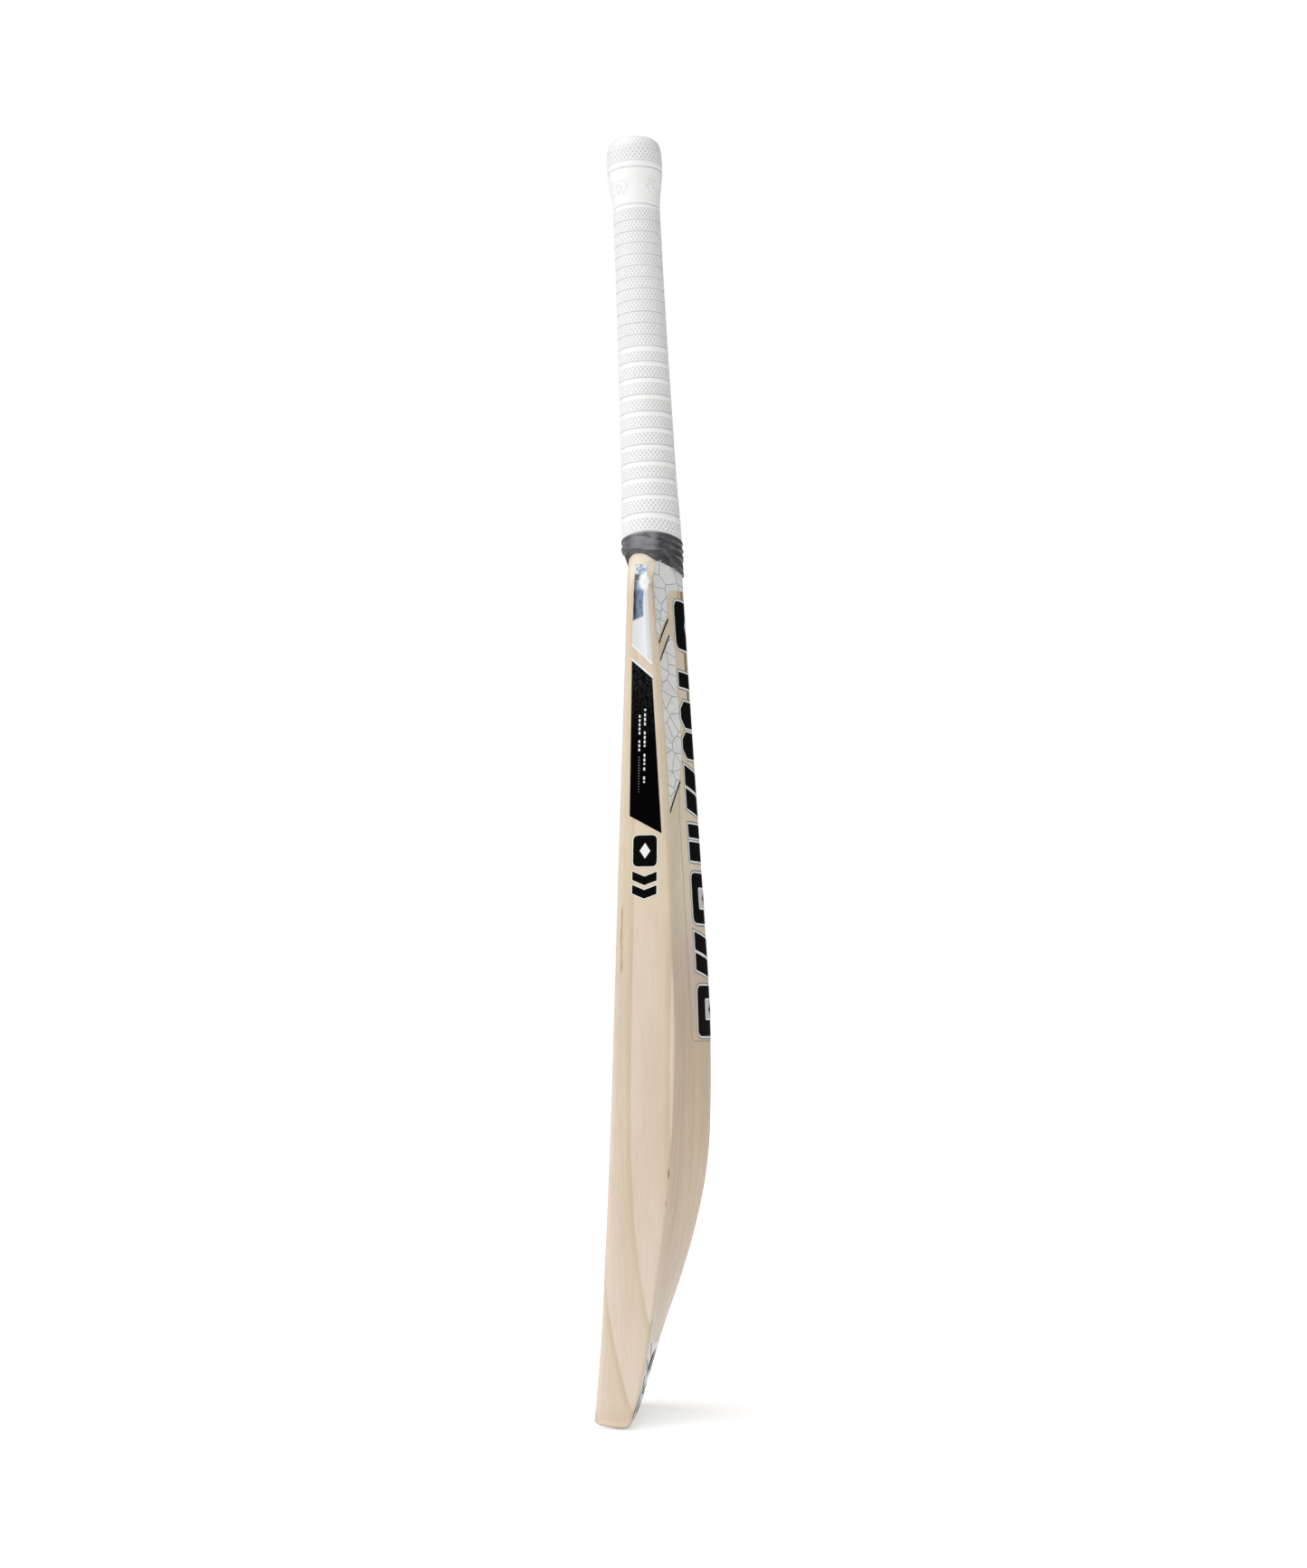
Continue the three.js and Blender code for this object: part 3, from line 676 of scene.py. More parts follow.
def make_blade():
    rings = [body_ring(z, inset) for z, inset in BLADE_FOOT] + [body_ring(z) for z in BODY_HEIGHTS]
    blade = new_piece("blade_willow", *loft(rings))
    (tip_half, tip), (top_half, top) = SPLICE
    slope = (top_half - tip_half) / (top - tip)
    wide = top_half + slope * WEDGE_PAST + SPLICE_GAP
    outline = [
        (-tip_half - SPLICE_GAP, tip - SPLICE_GAP),
        (tip_half + SPLICE_GAP, tip - SPLICE_GAP),
        (wide, top + WEDGE_PAST),
        (-wide, top + WEDGE_PAST),
    ]
    ends = [[(x, y, z) for x, z in outline] for y in (90, -90)]
    wedge = new_piece("wedge", *loft(ends))
    cut(blade, wedge, "DIFFERENCE")
    dress(blade, "willow")
    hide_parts("blade")


def make_toe_guard():
    guard = new_piece("toe_guard_strip", *loft([body_ring(z, inset) for z, inset in GUARD_LEVELS]))
    dress(guard, "guard_plastic")
    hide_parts("toe_guard")


make_blade()
make_toe_guard()

# ---------------------------------------------------------------- the handle's frame

HANDLE = Matrix.Translation(Vector(HANDLE_FOOT)) @ Matrix.Rotation(HANDLE_LEAN, 4, "X")
HANDLE_ARRAY = np.array(HANDLE)


def on_handle(radius, angle, along):
    """Points in the drawing's frame from the handle's own radius, angle and place along it."""
    even = 0 * angle
    x, y = HANDLE_OVAL * radius * np.cos(angle), radius * np.sin(angle)
    local = np.stack([x, y, along + even, 1 + even], axis=-1)
    return (local @ HANDLE_ARRAY.T)[..., :3]


def cane_radius(along):
    return smooth(CANE_ALONG, CANE_RADIUS, along)


# ---------------------------------------------------------------- grip

STUDS = 40  # pits round the handle
PIT_ROWS = 3.6  # two rows of pits along the handle
PIT_DEPTH = 0.5
UPPER_RING, UPPER_PITCH, UPPER_COUNT = 204.3, 7.86, 12
LOWER_RING, LOWER_PITCH, LOWER_COUNT = 107.4, 11.3, 11
PLAIN_BAND = 3.2
TAPER = (215.2, 240.0)
COLLAR_BANDS = [(244.8, 252.4), (253.5, 261.0)]
COLLAR_LINES = (244.3, 252.9)
DOME = (253.5, 258.5)  # the pits grow shallow over this stretch
EMBOSS = 0.55
EMBOSS_ANGLES = (-42, 48, 138, 228)  # degrees round the handle
EMBOSS_PLACE, EMBOSS_RADIUS = 227.4, 17
STEPS_PER_STUD = 6
PROFILE_STEP = 0.42
INSIDE_FOOT = 14  # the sleeve hangs below this place along the handle


def grip_profile():
    """Radius and place along the handle, sampled evenly from the foot over the dome into the hole."""
    along = list(np.arange(-6, 217, 4.0)) + [217]
    points = [(float(cane_radius(a)) + GRIP_OUTER, a) for a in along]
    points += [(16.5, 224), (17.5, 231), (18.3, 238), (18.6, 245), (18.45, 252), (17.9, 256), (16.6, 259.4)]
    points += [(14.4, 261.6), (11.6, 262.7), (9.4, 262.95), (8.4, 262.4), (8.0, 261.2), (8.0, 259.3)]
    points = np.array(points)
    travelled = np.concatenate([[0], np.cumsum(np.hypot(*np.diff(points, axis=0).T))])
    even = np.arange(0, travelled[-1], PROFILE_STEP)
    radius = smooth(travelled, points[:, 0], even)
    along = smooth(travelled, points[:, 1], even)
    return radius, along, even + points[0, 1]


def bell(distance, width):
    return np.exp(-((distance / width) ** 2))


def grip_bands(s):
    """For each place along the profile: base offset, weight of the pits, phase of their rows, and painted
    shade for the grooves.
    """
    base, weight, phase = (np.zeros_like(s) for _ in range(3))
    bands = []
    rings = [UPPER_RING - UPPER_PITCH * k for k in range(UPPER_COUNT)]
    bands.append((UPPER_RING + 0.5, UPPER_RING + 8.2))
    for top, bottom in zip(rings[:-1], rings[1:]):
        bands.append((bottom + 0.35, top - 0.35))
        base += np.where((s > bottom) & (s <= top), 0.16 * (top - s) / (top - bottom) - 0.08, 0)
    lower = [LOWER_RING - LOWER_PITCH * k for k in range(LOWER_COUNT)]
    for top, bottom in zip([rings[-1]] + lower[:-1], lower):
        bands.append((bottom + 0.3, top - PLAIN_BAND))
        base += 0.14 * rise(s, top - PLAIN_BAND - 0.2, top - PLAIN_BAND + 0.3) * rise(s, top, top - 0.4)
    base += 0.14 * rise(s, lower[-1], lower[-1] - 0.4)
    groove = np.zeros_like(s)
    for ring in rings + lower:
        base -= 0.5 * bell(s - ring, 0.42)
        groove += bell(s - ring, 0.42)
    for ring in TAPER:
        base -= 0.5 * bell(s - ring, 0.6)
        groove += 0.7 * bell(s - ring, 0.6)
        base += 0.18 * bell(s - ring - 1.3, 0.8)
    for ring in COLLAR_LINES:
        base -= 0.3 * bell(s - ring, 0.45)
        groove += 0.55 * bell(s - ring, 0.5)
    # painted shade over the smooth taper
    groove += 0.07 * rise(s, 216, 221) * rise(s, 240, 236)
    bands += COLLAR_BANDS
    for low, high in bands:
        inside = rise(s, low, low + 0.5) * rise(s, high, high - 0.5)
        chosen = inside > 0
        weight = np.maximum(weight, inside)
        phase = np.where(chosen, (s - low) / PIT_ROWS, phase)
    return base, weight, phase, groove


def emboss(angle, s):
    """A plain raised mark, a diamond between two angle brackets, repeated round the smooth taper."""
    total = np.zeros(np.broadcast(angle, s).shape)
    for centre in EMBOSS_ANGLES:
        across = (np.degrees(angle) - centre + 180) % 360 - 180
        u = across * math.pi / 180 * EMBOSS_RADIUS
        up = np.abs(s - EMBOSS_PLACE)
        near = np.abs(u) / 3.4 + up / 4.4
        total = np.maximum(total, rise(near, 1.12, 0.98) * rise(near, 0.42, 0.56))
        side = np.abs(u) + 0.75 * up
        bracket = rise(np.abs(side - 7.2), 0.85, 0.55) * rise(up, 4.6, 4.2)
        total = np.maximum(total, bracket)
    return total


def make_grip():
    radius, along, s = grip_profile()
    columns = STUDS * STEPS_PER_STUD
    angle = np.arange(columns) * 2 * math.pi / columns
    base, weight, phase, groove = grip_bands(s)
    turn = angle[None, :] * STUDS / (2 * math.pi)
    first = np.abs((turn + phase[:, None]) % 1 - 0.5) * 2
    second = np.abs((turn - phase[:, None]) % 1 - 0.5) * 2
    rib = np.maximum(rise(first, 0.3, 0.72), rise(second, 0.3, 0.72))
    pit = weight[:, None] * (1 - rib)
    shallow = 1 - 0.75 * rise(s, *DOME)[:, None]
    raised = emboss(angle[None, :], s[:, None])
    offset = base[:, None] - PIT_DEPTH * shallow * pit + EMBOSS * raised
    rim = 0.5 * (raised > 0.03) * (raised < 0.8)
    # painted shade: how much darker the pits, grooves, taper and emboss outline are painted
    hollow_shade = np.clip((0.4 + 0.6 * shallow) * pit + groove[:, None] + rim, 0, 1)
    tangent = np.gradient(radius), np.gradient(along)
    length = np.hypot(*tangent)
    out_r, out_a = tangent[1] / length, -tangent[0] / length
    wall_r = radius[:, None] + out_r[:, None] * offset
    wall_a = along[:, None] + out_a[:, None] * offset
    # the foot hangs lower in front and at the back than at the sides
    hang = 2.0 + 3.45 * np.sin(angle) ** 2 + 1.35 * np.sin(angle)
    wall_a = wall_a - hang[None, :] * rise(along[:, None], INSIDE_FOOT, -6) * (s[:, None] < 100)
    rings = [on_handle(wall_r[i], angle, wall_a[i]) for i in range(len(s))]
    inside = list(np.linspace(CANE_END + 0.3, INSIDE_FOOT, 7)) + [4, -6]
    for a in inside:
        radius = float(cane_radius(a)) + GRIP_INNER + 0 * angle
        rings.append(on_handle(radius, angle, a - hang * rise(a, INSIDE_FOOT, -6)))
    grip = new_piece("grip_sleeve", *loft(rings, ring_loop=True), sharp=70)
    values = np.concatenate([hollow_shade.ravel(), np.zeros(len(inside) * columns)])
    grip.data.attributes.new("hollow_shade", "FLOAT", "POINT").data.foreach_set("value", values.astype(np.float32))
    dress(grip, "grip_rubber")
    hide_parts("grip")


make_grip()

# ---------------------------------------------------------------- shoulder tape

TAPE_FOOT_Y = [-22, -18, -14, -9.5, -6.6, -3.6, -0.6, 3.3, 9.3, 19]
TAPE_FOOT_Z = [556.4, 556.6, 558.4, 561, 559.6, 557.5, 555.2, 553.6, 552.4, 549.9]
TAPE_OVER_SHOULDER = 1.8
TAPE_PROUD = 3.0  # over the cane
TAPE_OVER_BLADE = 1.2
TAPE_OVER_FACE = 1.8
TAPE_SIDE = 25
TAPE_DEPTH = 21  # half its depth from face to spine, where its foot's outline is read
TAPE_TOP, TAPE_TOP_DIP = 577.1, 3.3  # the top edge dips at the face and at the spine
TAPE_THICKNESS = 0.8
TAPE_COLUMNS, TAPE_ROWS = 300, 84
# folds: height against the sine of the angle round the handle, -1 at the face and 1 at the spine
TURN_EDGE = (
    [-1, -0.78, -0.63, -0.44, -0.07, 0.19, 0.36, 0.48, 0.75, 1],
    [563.6, 564.5, 565.1, 565.4, 564.3, 564.5, 564.2, 563, 561, 559.5],
)
HIGH_FOLD = ([0.3, 0.64, 1], [572.2, 570.8, 569.6])
RIDGE_FOLD = ([0.3, 0.7, 1], [569.9, 567.7, 566.8])


def tape_push(sine, z, foot):
    """How far the tape stands out or in: overlapping turns and the folds across them."""
    strong = 0.35 + 0.65 * rise(abs(sine + 0.05), 0.1, 0.35)
    above = z - np.interp(sine, *TURN_EDGE)
    turn = 0.75 - 0.4 * rise(-sine, 0.6, 0.95) - 0.25 * rise(sine, 0.6, 0.95)
    push = strong * (turn * rise(above, -0.1, 0.5) - 0.55 * bell(above + 0.35, 0.5))
    push -= 0.8 * bell(z - np.interp(sine, *HIGH_FOLD), 1.0) * rise(sine, 0.2, 0.5)
    ridge = np.interp(sine, *RIDGE_FOLD)
    push += 0.5 * bell(z - ridge, 0.8) * rise(sine, 0.15, 0.45)
    push -= 0.6 * bell(z - ridge + 2.0, 0.8) * rise(sine, 0.3, 0.8)
    push -= 0.8 * bell(z - 569.8, 1.0) * rise(-sine, 0.45, 0.8)
    push += 0.15 * bell(z - 566.9, 1.2) * rise(-sine, 0.4, 0.8)
    low = z - foot
    push -= 0.35 * (bell(low - 1.5, 0.35) + bell(low - 3.1, 0.35)) * rise(sine, 0.25, 0.55)
    push -= 0.35 * bell(low - 1.3, 0.4) * rise(-sine, -0.2, 0.2)
    return push


def shoulder_reach(y, z):
    """How far out the blade's body goes at one height and one place between face and back."""
    x = np.linspace(NECK - 2, HALF_WIDTH, 90)
    pull = shoulder_pull(x, z)
    inside = (x <= half_width(z)) & (y >= face_at(x, z) + pull) & (y <= back_at(x, z) - pull)
    return float(x[inside].max()) if inside.any() else 0.0


def tape_point(side, sine, v):
    """A point on the tape's outside, at an angle's cosine and sine; v is 0 at the top and 1 at the foot."""
    foot = float(np.interp(HANDLE_FOOT[1] + TAPE_DEPTH * sine, TAPE_FOOT_Y, TAPE_FOOT_Z))
    top = TAPE_TOP - TAPE_TOP_DIP * sine**2
    z = top + (foot - top) * v
    along = z - HANDLE_FOOT[2]
    wrap = float(cane_radius(along)) + TAPE_PROUD
    x, y = HANDLE_OVAL * wrap * side, HANDLE_FOOT[1] - HANDLE_LEAN * along + wrap * sine
    if abs(side) < 0.98:
        level = min(z, BLADE_TOP - 1)
        near, far = float(face_at(x, level)), float(back_at(x, level))
        target = near - TAPE_OVER_FACE if sine < 0 else far + TAPE_OVER_BLADE
        y += (target - y) * rise(z, BLADE_TOP + 6, foot) * rise(abs(sine), 0.2, 0.75)
    x *= 1 + (TAPE_SIDE / (HANDLE_OVAL * wrap) - 1) * rise(z, BLADE_TOP + 4, BLADE_TOP - 1)
    if z < BLADE_TOP + 1.5 and sine > -0.5:
        reach = shoulder_reach(y, min(z, BLADE_TOP - 0.02)) + TAPE_OVER_SHOULDER
        more = max(reach - abs(x), 0) * rise(sine, -0.5, -0.28) * rise(z, BLADE_TOP + 1.5, BLADE_TOP - 0.3)
        x += math.copysign(more, side)
    push = float(tape_push(sine, z, foot))
    push += 0.4 * noise.noise(Vector((side * 1.6, sine * 1.6, v * 2.6)) + Vector((3.1, 0, 7.7)))
    push += 0.16 * noise.noise(Vector((side * 1.3, sine * 1.3, v * 9)) + Vector((9.0, 4.0, 1.0)))
    push *= rise(v, -0.02, 0.05)
    return x + side * push, y + sine * push, z


def make_tape():
    angles = np.arange(TAPE_COLUMNS) * 2 * math.pi / TAPE_COLUMNS
    outward = np.array([(math.cos(a), math.sin(a), 0) for a in angles])
    outside = [
        np.array([tape_point(side, sine, row / (TAPE_ROWS - 1)) for side, sine, _ in outward])
        for row in range(TAPE_ROWS)
    ]
    shell = outside[::-1] + [ring - TAPE_THICKNESS * outward for ring in outside]
    tape = new_piece("shoulder_tape_wrap", *loft(shell, ring_loop=True), sharp=60)
    dress(tape, "cloth_tape")
    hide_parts("shoulder_tape")


make_tape()

# ---------------------------------------------------------------- labels

def edge_point(side):
    def place(y, z, lift):
        return side * (float(half_width(z)) - side_pull(y, z) + lift), y, z
    return place


def side_pull(y, z):
    side = float(smooth(HEIGHTS, EDGE, z)) / 2
    across = (y - float(smooth(HEIGHTS, FACE, z)) - side) / side
    return EDGE_CROWN * min(1, abs(across)) ** 2


def back_point(x, z, lift):
    return x, float(back_at(x, z)) + lift, z


def face_point(x, z, lift):
    return x, float(face_at(x, z)) - lift, z


def rounded(corners, radius, steps=5):
    """The outline with each corner turned into an arc-like curve."""
    points = []
    count = len(corners)
    radii = radius if isinstance(radius, list) else [radius] * count
    for i in range(count):
        before, here, after = (Vector(corners[(i + k) % count]) for k in (-1, 0, 1))
        to_before, to_after = before - here, after - here
        reach = min(radii[i], to_before.length / 2.01, to_after.length / 2.01)
        if reach <= 0:
            points.append(tuple(here))
            continue
        start, end = here + to_before.normalized() * reach, here + to_after.normalized() * reach
        for t in np.linspace(0, 1, steps + 1):
            points.append(tuple((1 - t) ** 2 * start + 2 * t * (1 - t) * here + t * t * end))
    return points


def grown(corners, distance):
    """The outline moved outward by a distance."""
    points = [Vector(c) for c in corners]
    area = sum(p.x * q.y - q.x * p.y for p, q in zip(points, points[1:] + points[:1]))
    turn = 1 if area > 0 else -1
    result = []
    for i, here in enumerate(points):
        before, after = points[i - 1], points[(i + 1) % len(points)]
        d1, d2 = (here - before).normalized(), (after - here).normalized()
        n1, n2 = Vector((d1.y, -d1.x)) * turn, Vector((d2.y, -d2.x)) * turn
        middle = n1 + n2
        if middle.length < 1e-6:
            middle = n1
        middle.normalize()
        result.append(tuple(here + middle * distance / max(0.45, middle.dot(n1))))
    return result


def decal(name, shapes, place, grid=(4.0, 8.0), thickness=0.05):
    """A thin printed layer. shapes: (outline, lift, material index). Each outline lies on the surface that
    place describes, cut on a grid so that it follows the curve, and is closed underneath."""
    vertices, faces, kinds = [], [], []
    for outline, lift, kind in shapes:
        flat = bmesh.new()
        flat.faces.new([flat.verts.new((u, w, 0)) for u, w in outline])
        for axis, step in enumerate(grid):
            low = min(p[axis] for p in outline)
            high = max(p[axis] for p in outline)
            direction = Vector((1, 0, 0)) if axis == 0 else Vector((0, 1, 0))
            for k in range(math.ceil(low / step), math.floor(high / step) + 1):
                geometry = flat.verts[:] + flat.edges[:] + flat.faces[:]
                centre = direction * (k * step)
                bmesh.ops.bisect_plane(flat, geom=geometry, dist=1e-5, plane_co=centre, plane_no=direction)
        bmesh.ops.triangulate(flat, faces=flat.faces[:])
        flat.verts.index_update()
        start = len(vertices)
        count = len(flat.verts)
        vertices += [place(v.co.x, v.co.y, lift) for v in flat.verts]
        vertices += [place(v.co.x, v.co.y, lift - thickness) for v in flat.verts]
        for face in flat.faces:
            loop = [start + v.index for v in face.verts]
            faces.append(loop)
            faces.append([i + count for i in reversed(loop)])
            kinds += [kind, kind]
        for edge in flat.edges:
            if edge.is_boundary:
                loop = edge.link_loops[0]
                a, b = start + loop.vert.index, start + loop.link_loop_next.vert.index
                faces.append([b, a, a + count, b + count])
                kinds.append(kind)
        flat.free()
    mesh = bpy.data.meshes.new(name)
    mesh.from_pydata([tuple(v) for v in to_frame(vertices)], [], faces)
    mesh.polygons.foreach_set("material_index", kinds)
    work = bmesh.new()
    work.from_mesh(mesh)
    bmesh.ops.recalc_face_normals(work, faces=work.faces[:])
    work.to_mesh(mesh)
    work.free()
    return finish_piece(name, mesh, 40)


def mirrored(outline, side):
    return [(side * u, w) for u, w in outline]


FOIL = [(-10.8, 550.4), (-3.4, 550.6), (-1.1, 513.5), (1.1, 485.4), (-11.8, 497.6), (-11.3, 515.8)]
PANEL = [(-11.6, 486.3), (1.6, 474.9), (9.1, 375.3), (-11.5, 386.1)]
LEVEL_WHITE, LEVEL_INK = 0.08, 0.14  # how far the layers of a label stand off the blade
LEVEL_OVER = LEVEL_INK + 0.02
RIM = 0.5  # the white rim round the edge's black marks
CUT_LINE = 1.3  # width of the lines along the labels' slanted ends
STAR_RAYS = [4.0, 3.0, 4.4, 7.4, 4.6, 5.6, 7.2, 4.8, 5.4, 7.6, 4.2, 3.2]


def strip(start, end, width):
    """A bar of a given width along one line."""
    a, b = Vector(start), Vector(end)
    across = Vector((a.y - b.y, b.x - a.x)).normalized() * width / 2
    return [tuple(a + across), tuple(a - across), tuple(b - across), tuple(b + across)]


def star(centre, rays, inner, stretch=1.3):
    points = []
    for k, ray in enumerate(rays):
        angle = 2 * math.pi * k / len(rays)
        points.append((centre[0] + ray * math.cos(angle), centre[1] + stretch * ray * math.sin(angle)))
        angle += math.pi / len(rays)
        points.append((centre[0] + inner * math.cos(angle), centre[1] + stretch * inner * math.sin(angle)))
    return points


def gem(low, high, half, centre=0):
    middle = (low + high) / 2
    return [(centre + half, middle), (centre, low), (centre - half, middle), (centre, high)]


def chevron(left, right, high, thick, drop):
    """A bar across, bent down in the middle."""
    middle = (left + right) / 2
    low = high - thick
    top, bottom = (middle, high - drop), (middle, low - drop)
    return [(right, high), (right, low), bottom, (left, low), (left, high), top]


def small_print():
    """Two columns of plain dashes and dots."""
    for k in range(17):
        z = 455 - k * 2.9
        length = 1.9 if k % 4 else 1.2
        if k % 5 != 4:
            yield strip((-2.6, z), (-2.6, z - length), 1.1), LEVEL_OVER, 1
    for k in range(9):
        z = 451 - k * 2.7
        if k % 6 != 5:
            yield strip((-6.0, z), (-6.0, z - 1.7), 1.0), LEVEL_OVER, 1
    for k in range(14):
        z = 424 - k * 1.7
        yield strip((-6.0, z), (-6.0, z - 0.5), 0.9 - 0.04 * k), LEVEL_OVER, 2


def make_edge_labels(side, tag):
    place = edge_point(side)
    shapes = [
        (FOIL, LEVEL_INK, 0),
        (strip((-12.0, 496.8), (1.4, 484.3), CUT_LINE), LEVEL_OVER, 1),
        # painted glint: the glare's white star, printed over the foil
        (star(STAR_CENTRE, STAR_RAYS, 1.7), LEVEL_INK + 0.04, 1),
    ]
    foil = decal(f"foil_print_{tag}", shapes, place, grid=(3, 4))
    dress(foil, "mirror_foil", LOOKS["mirror_foil"], WHITE_PRINT)
    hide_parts(f"edge_foil_{tag}")
    top_line = strip((-12.0, 487.3), (2.2, 475.6), CUT_LINE)
    shapes = [(PANEL, LEVEL_INK, 0), (top_line, LEVEL_OVER, 1), *small_print()]
    panel = decal(f"panel_print_{tag}", shapes, place)
    dress(panel, "black_film", LOOKS["black_film"], WHITE_PRINT, GREY_PRINT)
    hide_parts(f"edge_panel_{tag}")
    plate = rounded([(-8.9, 373.6), (6.2, 374.2), (6.4, 354.2), (-8.9, 353.8)], 3.4)
    diamond = gem(359, 369, 3.4, -1.3)
    shapes = [(grown(plate, RIM), LEVEL_WHITE, 1), (plate, LEVEL_INK, 0), (diamond, LEVEL_INK + 0.04, 1)]
    upper = decal(f"plate_mark_{tag}", shapes, place)
    bars = [chevron(-9.2, 6.4, high, 5.6, 3.2) for high in (350.8, 342.2)]
    shapes = [(grown(bar, RIM), LEVEL_WHITE, 1) for bar in bars] + [(bar, LEVEL_INK, 0) for bar in bars]
    lower = decal(f"chevron_mark_{tag}", shapes, place)
    for piece, node in ((upper, f"edge_mark_upper_{tag}"), (lower, f"edge_mark_lower_{tag}")):
        dress(piece, "black_film", BLACK_PRINT, WHITE_PRINT)
        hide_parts(node)


# the back's labels are listed for the right side, as (x, z), and mirrored
FILM_UPPER = [
    (0.1, 552), (22, 553), (34, 555.2), (42, 552.8), (47.4, 548.4), (52, 541), (52.8, 516.7), (52.6, 500),
    (33, 517), (31.2, 521), (30.6, 527), (29, 532), (25.6, 535.5), (19, 538), (0.1, 539.5),
]
FILM_LOWER = [
    (29.4, 507.6), (49.2, 488), (49.6, 482), (48.8, 458), (47.8, 434.8), (47, 411), (47.4, 391),
    (28.0, 411.6), (26.4, 418), (25.2, 425), (22.4, 431), (23.2, 440), (22.2, 450), (23.4, 464), (23.8, 485),
    (22.4, 495), (24.6, 501), (27.4, 505),
]
FILM_LINES = [((49.2, 498.4), (30.6, 516.8)), ((48.9, 487.2), (30.2, 506.1)), ((47.6, 389.2), (27.8, 411.0))]


def make_film(side, tag):
    outlines = [rounded(outline, 1.2, 3) for outline in (FILM_UPPER, FILM_LOWER)]
    shapes = [(mirrored(outline, side), LEVEL_WHITE, 0) for outline in outlines]
    for start, end in FILM_LINES:
        shapes.append((mirrored(strip(start, end, CUT_LINE), side), 2 * LEVEL_INK, 1))
    film = decal(f"cracked_film_{tag}", shapes, back_point, grid=(2.0, 6.0))
    dress(film, "grey_film", LOOKS["grey_film"], BLACK_PRINT)
    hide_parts(f"back_film_{tag}")


HALF = 20.3  # the blocks' half width


def both_sides(right):
    """A closed outline from its right half, listed from the top down."""
    return right + [(-x, z) for x, z in reversed(right)]


def slab(low, high, radius=5):
    return rounded([(HALF, high), (HALF, low), (-HALF, low), (-HALF, high)], radius)


def chamfered(low, high, cut):
    """A slab whose four corners are cut off at a slant."""
    return both_sides([(HALF - cut, high), (HALF, high - cut), (HALF, low + cut), (HALF - cut, low)])


def wide_chevron(high, thick, drop):
    return chevron(-HALF, HALF, high, thick, drop)


def window(low, high, half):
    return rounded([(half, high), (half, low), (-half, low), (-half, high)], 1.5)


def block_shapes():
    """Plain geometric blocks across the spine, from the lowest up: black outlines and pale windows."""
    return [
        ([slab(246.3, 279)], [window(256.7, 270.8, 10.4)]),
        ([wide_chevron(314, 11.6, 5), wide_chevron(300.4, 11.2, 5)], []),
        ([slab(319.4, 352.2)], [window(328.6, 343, 11.2)]),
        ([slab(375.2, 384, 0.4), slab(360, 372.4, 0.4)], []),
        ([wide_chevron(422.6, 13.2, 5), wide_chevron(407.4, 13.2, 5)], []),
        ([chamfered(447.4, 464.8, 5.5), chamfered(427.2, 444.6, 5.5)], []),
        ([slab(474, 483.8, 0.4)], []),
        ([slab(499.5, 531.5, [7, 5.5, 5.5, 7])], [gem(508, 523, 5.5)]),
    ]


def make_blocks():
    for index, (solids, windows) in enumerate(block_shapes()):
        shapes = []
        for outline in solids:
            shapes.append((grown(outline, 2.0), 0.05, 2))
            shapes.append((grown(outline, 1.1), 0.1, 1))
            shapes.append((outline, 0.16, 0))
        for outline in windows:
            shapes.append((outline, 0.22, 1))
            shapes.append((grown(outline, -1.0), 0.25, 3))
            if len(outline) > 4:
                middle = sum(z for _, z in outline) / len(outline)
                shapes.append((gem(middle - 5, middle + 5, 6), 0.3, 0))
        block = decal(f"block_print_{index + 1}", shapes, back_point, grid=(1.5, 6.0))
        dress(block, "black_film", BLACK_PRINT, WHITE_PRINT, GREY_PRINT, SILVER_PRINT)
        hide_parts(f"back_block_{index + 1}")


def make_carrier_lines():
    """The faint outline of the clear film that the blocks are printed on."""
    corners = [(0, 243.2), (26, 243.2), (28.8, 246), (30.2, 279), (31.4, 331), (31.8, 390), (29, 409)]
    shapes = []
    for side in (1, -1):
        for start, end in zip(corners[:-1], corners[1:]):
            shapes.append((mirrored(strip(start, end, 0.45), side), 0.04, 0))
    lines = decal("carrier_film_outline", shapes, back_point, grid=(1.5, 6.0))
    dress(lines, "grey_film", GREY_PRINT)


TOE_FIELD = [
    (0, 8.6), (11, 7.6), (33, 3.2), (43.8, 7.4), (47, 33), (49.6, 54.4), (43, 56), (28, 51), (9, 50), (0, 50),
]
TOE_SHARDS = [
    [(41.4, 54.4), (42.8, 53.2), (31, 42.8), (30.2, 44.6)],
    [(46.2, 44.9), (47, 42.6), (37.2, 34.9), (36.4, 36.6)],
    [(10, 46.4), (25, 43), (31.8, 37), (26, 29.4), (18, 34.6)],
    [(23.8, 26.6), (28.6, 18.8), (12.4, 17.6)],
    [(11, 14.4), (18, 7.4), (33, 4.6), (21, 12)],
    [(33.6, 30.6), (40.4, 34), (36.6, 22), (31.4, 24.4)],
    [(33, 17), (41.8, 24.6), (41, 10.4), (35, 8.8)],
    [(0.6, 44), (7, 42.6), (14, 32.6), (6, 27.4), (0.6, 31)],
    [(0.6, 23.6), (9, 21.6), (5.6, 12.6), (0.6, 13.4)],
]


def make_toe_label():
    shapes = []
    for side in (1, -1):
        shapes.append((mirrored(rounded(TOE_FIELD, 1.2, 3), side), LEVEL_WHITE, 1))
        for outline in TOE_SHARDS:
            shapes.append((mirrored(grown(outline, 0.7), side), LEVEL_INK, 1))
            shapes.append((mirrored(outline, side), LEVEL_INK + 0.05, 0))
    label = decal("toe_graphic", shapes, back_point, grid=(2.0, 4.0))
    dress(label, "grey_film", SLATE_PRINT, WHITE_PRINT)
    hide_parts("toe_label")


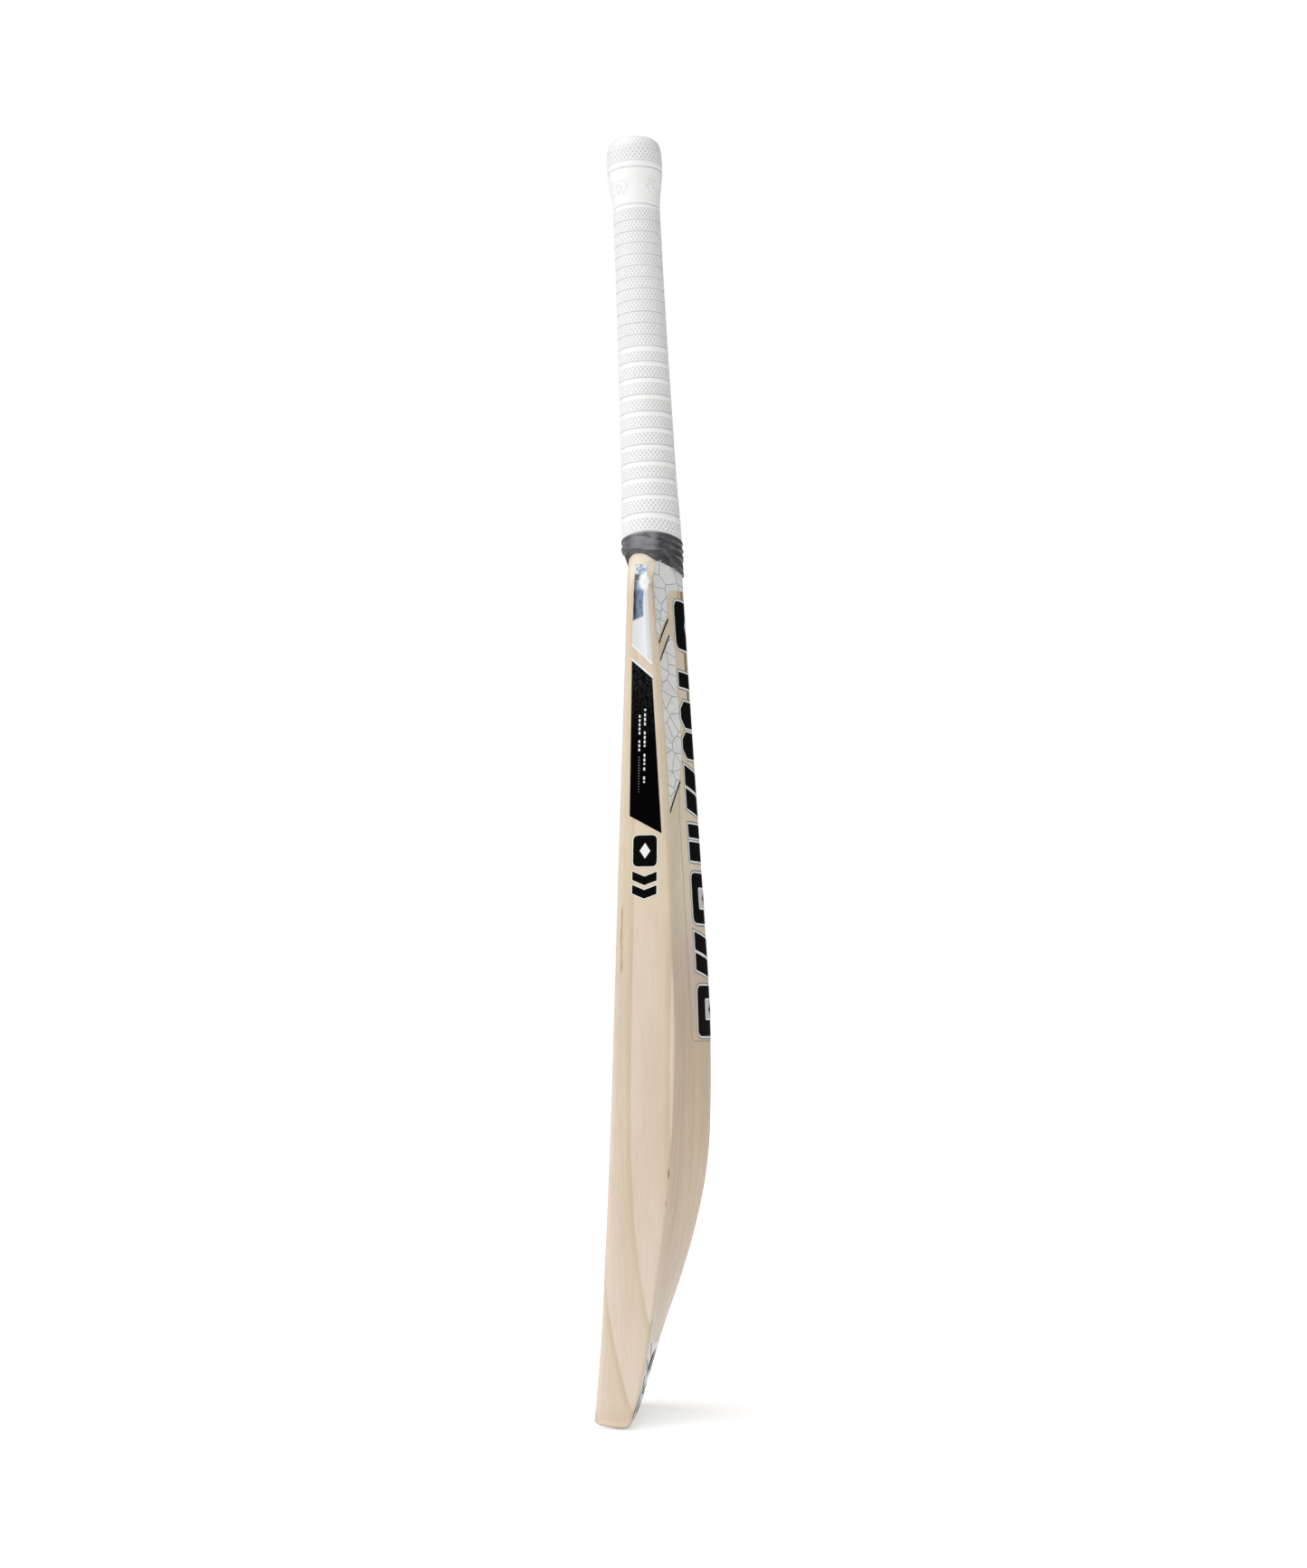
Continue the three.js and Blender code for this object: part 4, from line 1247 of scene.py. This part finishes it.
def make_face_label():
    shield = rounded([(-30, 530), (-30, 452), (0, 440), (30, 452), (30, 530)], [3, 5, 6, 5, 3])
    inner = rounded([(-26.5, 526.5), (-26.5, 455), (0, 444.4), (26.5, 455), (26.5, 526.5)], [2, 4, 5, 4, 2])
    shapes = [(shield, 0.06, 2), (grown(inner, 0.8), 0.1, 1), (inner, LEVEL_INK, 0)]
    shapes.append((gem(484, 514, 12.5), LEVEL_INK + 0.05, 2))
    shapes.append((gem(490.5, 507.5, 7), LEVEL_INK + 0.1, 0))
    for high in (478, 468.5):
        shapes.append((chevron(-17, 17, high, 4.4, 5), LEVEL_INK + 0.05, 2))
    label = decal("face_graphic", shapes, face_point, grid=(6.0, 10.0))
    dress(label, "black_film", BLACK_PRINT, WHITE_PRINT, SILVER_PRINT)
    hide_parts("face_label")


for side, tag in ((1, "right"), (-1, "left")):
    make_edge_labels(side, tag)
    make_film(side, tag)
make_blocks()
make_carrier_lines()
make_toe_label()
make_face_label()

# ---------------------------------------------------------------- stage, light and camera

AMBIENT = 0.1  # the surround's light on the bat; the camera sees it as white
FLOOR_GLOW = 0.5
FLOOR_SPAN = 12  # metres
SUN_STRENGTH = 2.7
SUN_WIDTH, SUN_ELEVATION, SUN_AZIMUTH = 80, 57, -45  # degrees; azimuth from +X, towards the face


def make_stage():
    mesh = bpy.data.meshes.new("floor")
    corners = [(x * FLOOR_SPAN, y * FLOOR_SPAN, 0) for x, y in ((-1, -1), (1, -1), (1, 1), (-1, 1))]
    mesh.from_pydata(corners, [], [(0, 1, 2, 3)])
    look = Look("floor", Roughness=0.9)
    look.set("Base Color", (0.93, 0.93, 0.93, 1))
    look.set("Emission Color", (1, 1, 1, 1))
    look.set("Emission Strength", FLOOR_GLOW)
    mesh.materials.append(look.material)
    floor = add_object("floor", mesh)
    world = bpy.data.worlds.new("studio")
    bpy.context.scene.world = world
    world.use_nodes = True
    tree = world.node_tree
    background = tree.nodes["Background"]
    background.inputs[0].default_value = (1, 1, 1, 1)
    rays = tree.nodes.new("ShaderNodeLightPath")
    level = tree.nodes.new("ShaderNodeMapRange")
    level.inputs["To Min"].default_value = AMBIENT
    level.inputs["To Max"].default_value = 1.0
    tree.links.new(rays.outputs["Is Camera Ray"], level.inputs["Value"])
    tree.links.new(level.outputs[0], background.inputs[1])


def make_sun():
    lamp = bpy.data.lights.new("soft_sun", "SUN")
    lamp.energy = SUN_STRENGTH
    lamp.angle = math.radians(SUN_WIDTH)
    high, round_ = math.radians(SUN_ELEVATION), math.radians(SUN_AZIMUTH)
    towards = Vector((math.cos(high) * math.cos(round_), math.cos(high) * math.sin(round_), math.sin(high)))
    add_object("soft_sun", lamp).rotation_euler = towards.to_track_quat("Z", "Y").to_euler()


CAMERA_AZIMUTH, CAMERA_DISTANCE, CAMERA_HEIGHT = 92.9, 1640, 272
CAMERA_PITCH, CAMERA_ROLL, CAMERA_YAW = 4.86, 0.88, -0.33
CAMERA_AIM_Y = -8.4  # the camera's circle is centred here, in the drawing's millimetres
FOCAL_PIXELS, FRAME_HEIGHT, SENSOR = 2753, 1734, 36


def turn_pair(first, second, angle):
    c, s = math.cos(math.radians(angle)), math.sin(math.radians(angle))
    return first * c + second * s, second * c - first * s


def make_camera():
    azimuth = math.radians(CAMERA_AZIMUTH)
    back = Vector((math.sin(azimuth), -math.cos(azimuth), 0))
    right = Vector((math.cos(azimuth), math.sin(azimuth), 0))
    up = Vector((0, 0, 1))
    place = back * CAMERA_DISTANCE + up * CAMERA_HEIGHT + Vector((0, CAMERA_AIM_Y + SHIFT_Y, 0))
    back, right = turn_pair(back, right, CAMERA_YAW)
    up, back = turn_pair(up, back, CAMERA_PITCH)
    right, up = turn_pair(right, up, CAMERA_ROLL)
    data = bpy.data.cameras.new("camera")
    data.sensor_width = SENSOR
    data.lens = FOCAL_PIXELS / FRAME_HEIGHT * SENSOR
    data.clip_start, data.clip_end = 0.05, 60
    camera = add_object("camera", data)
    axes = Matrix((right, up, back)).transposed().to_4x4()
    camera.matrix_world = Matrix.Translation(place * MM) @ axes
    bpy.context.scene.camera = camera


make_stage()
make_sun()
make_camera()
bpy.context.scene.view_settings.view_transform = "Standard"
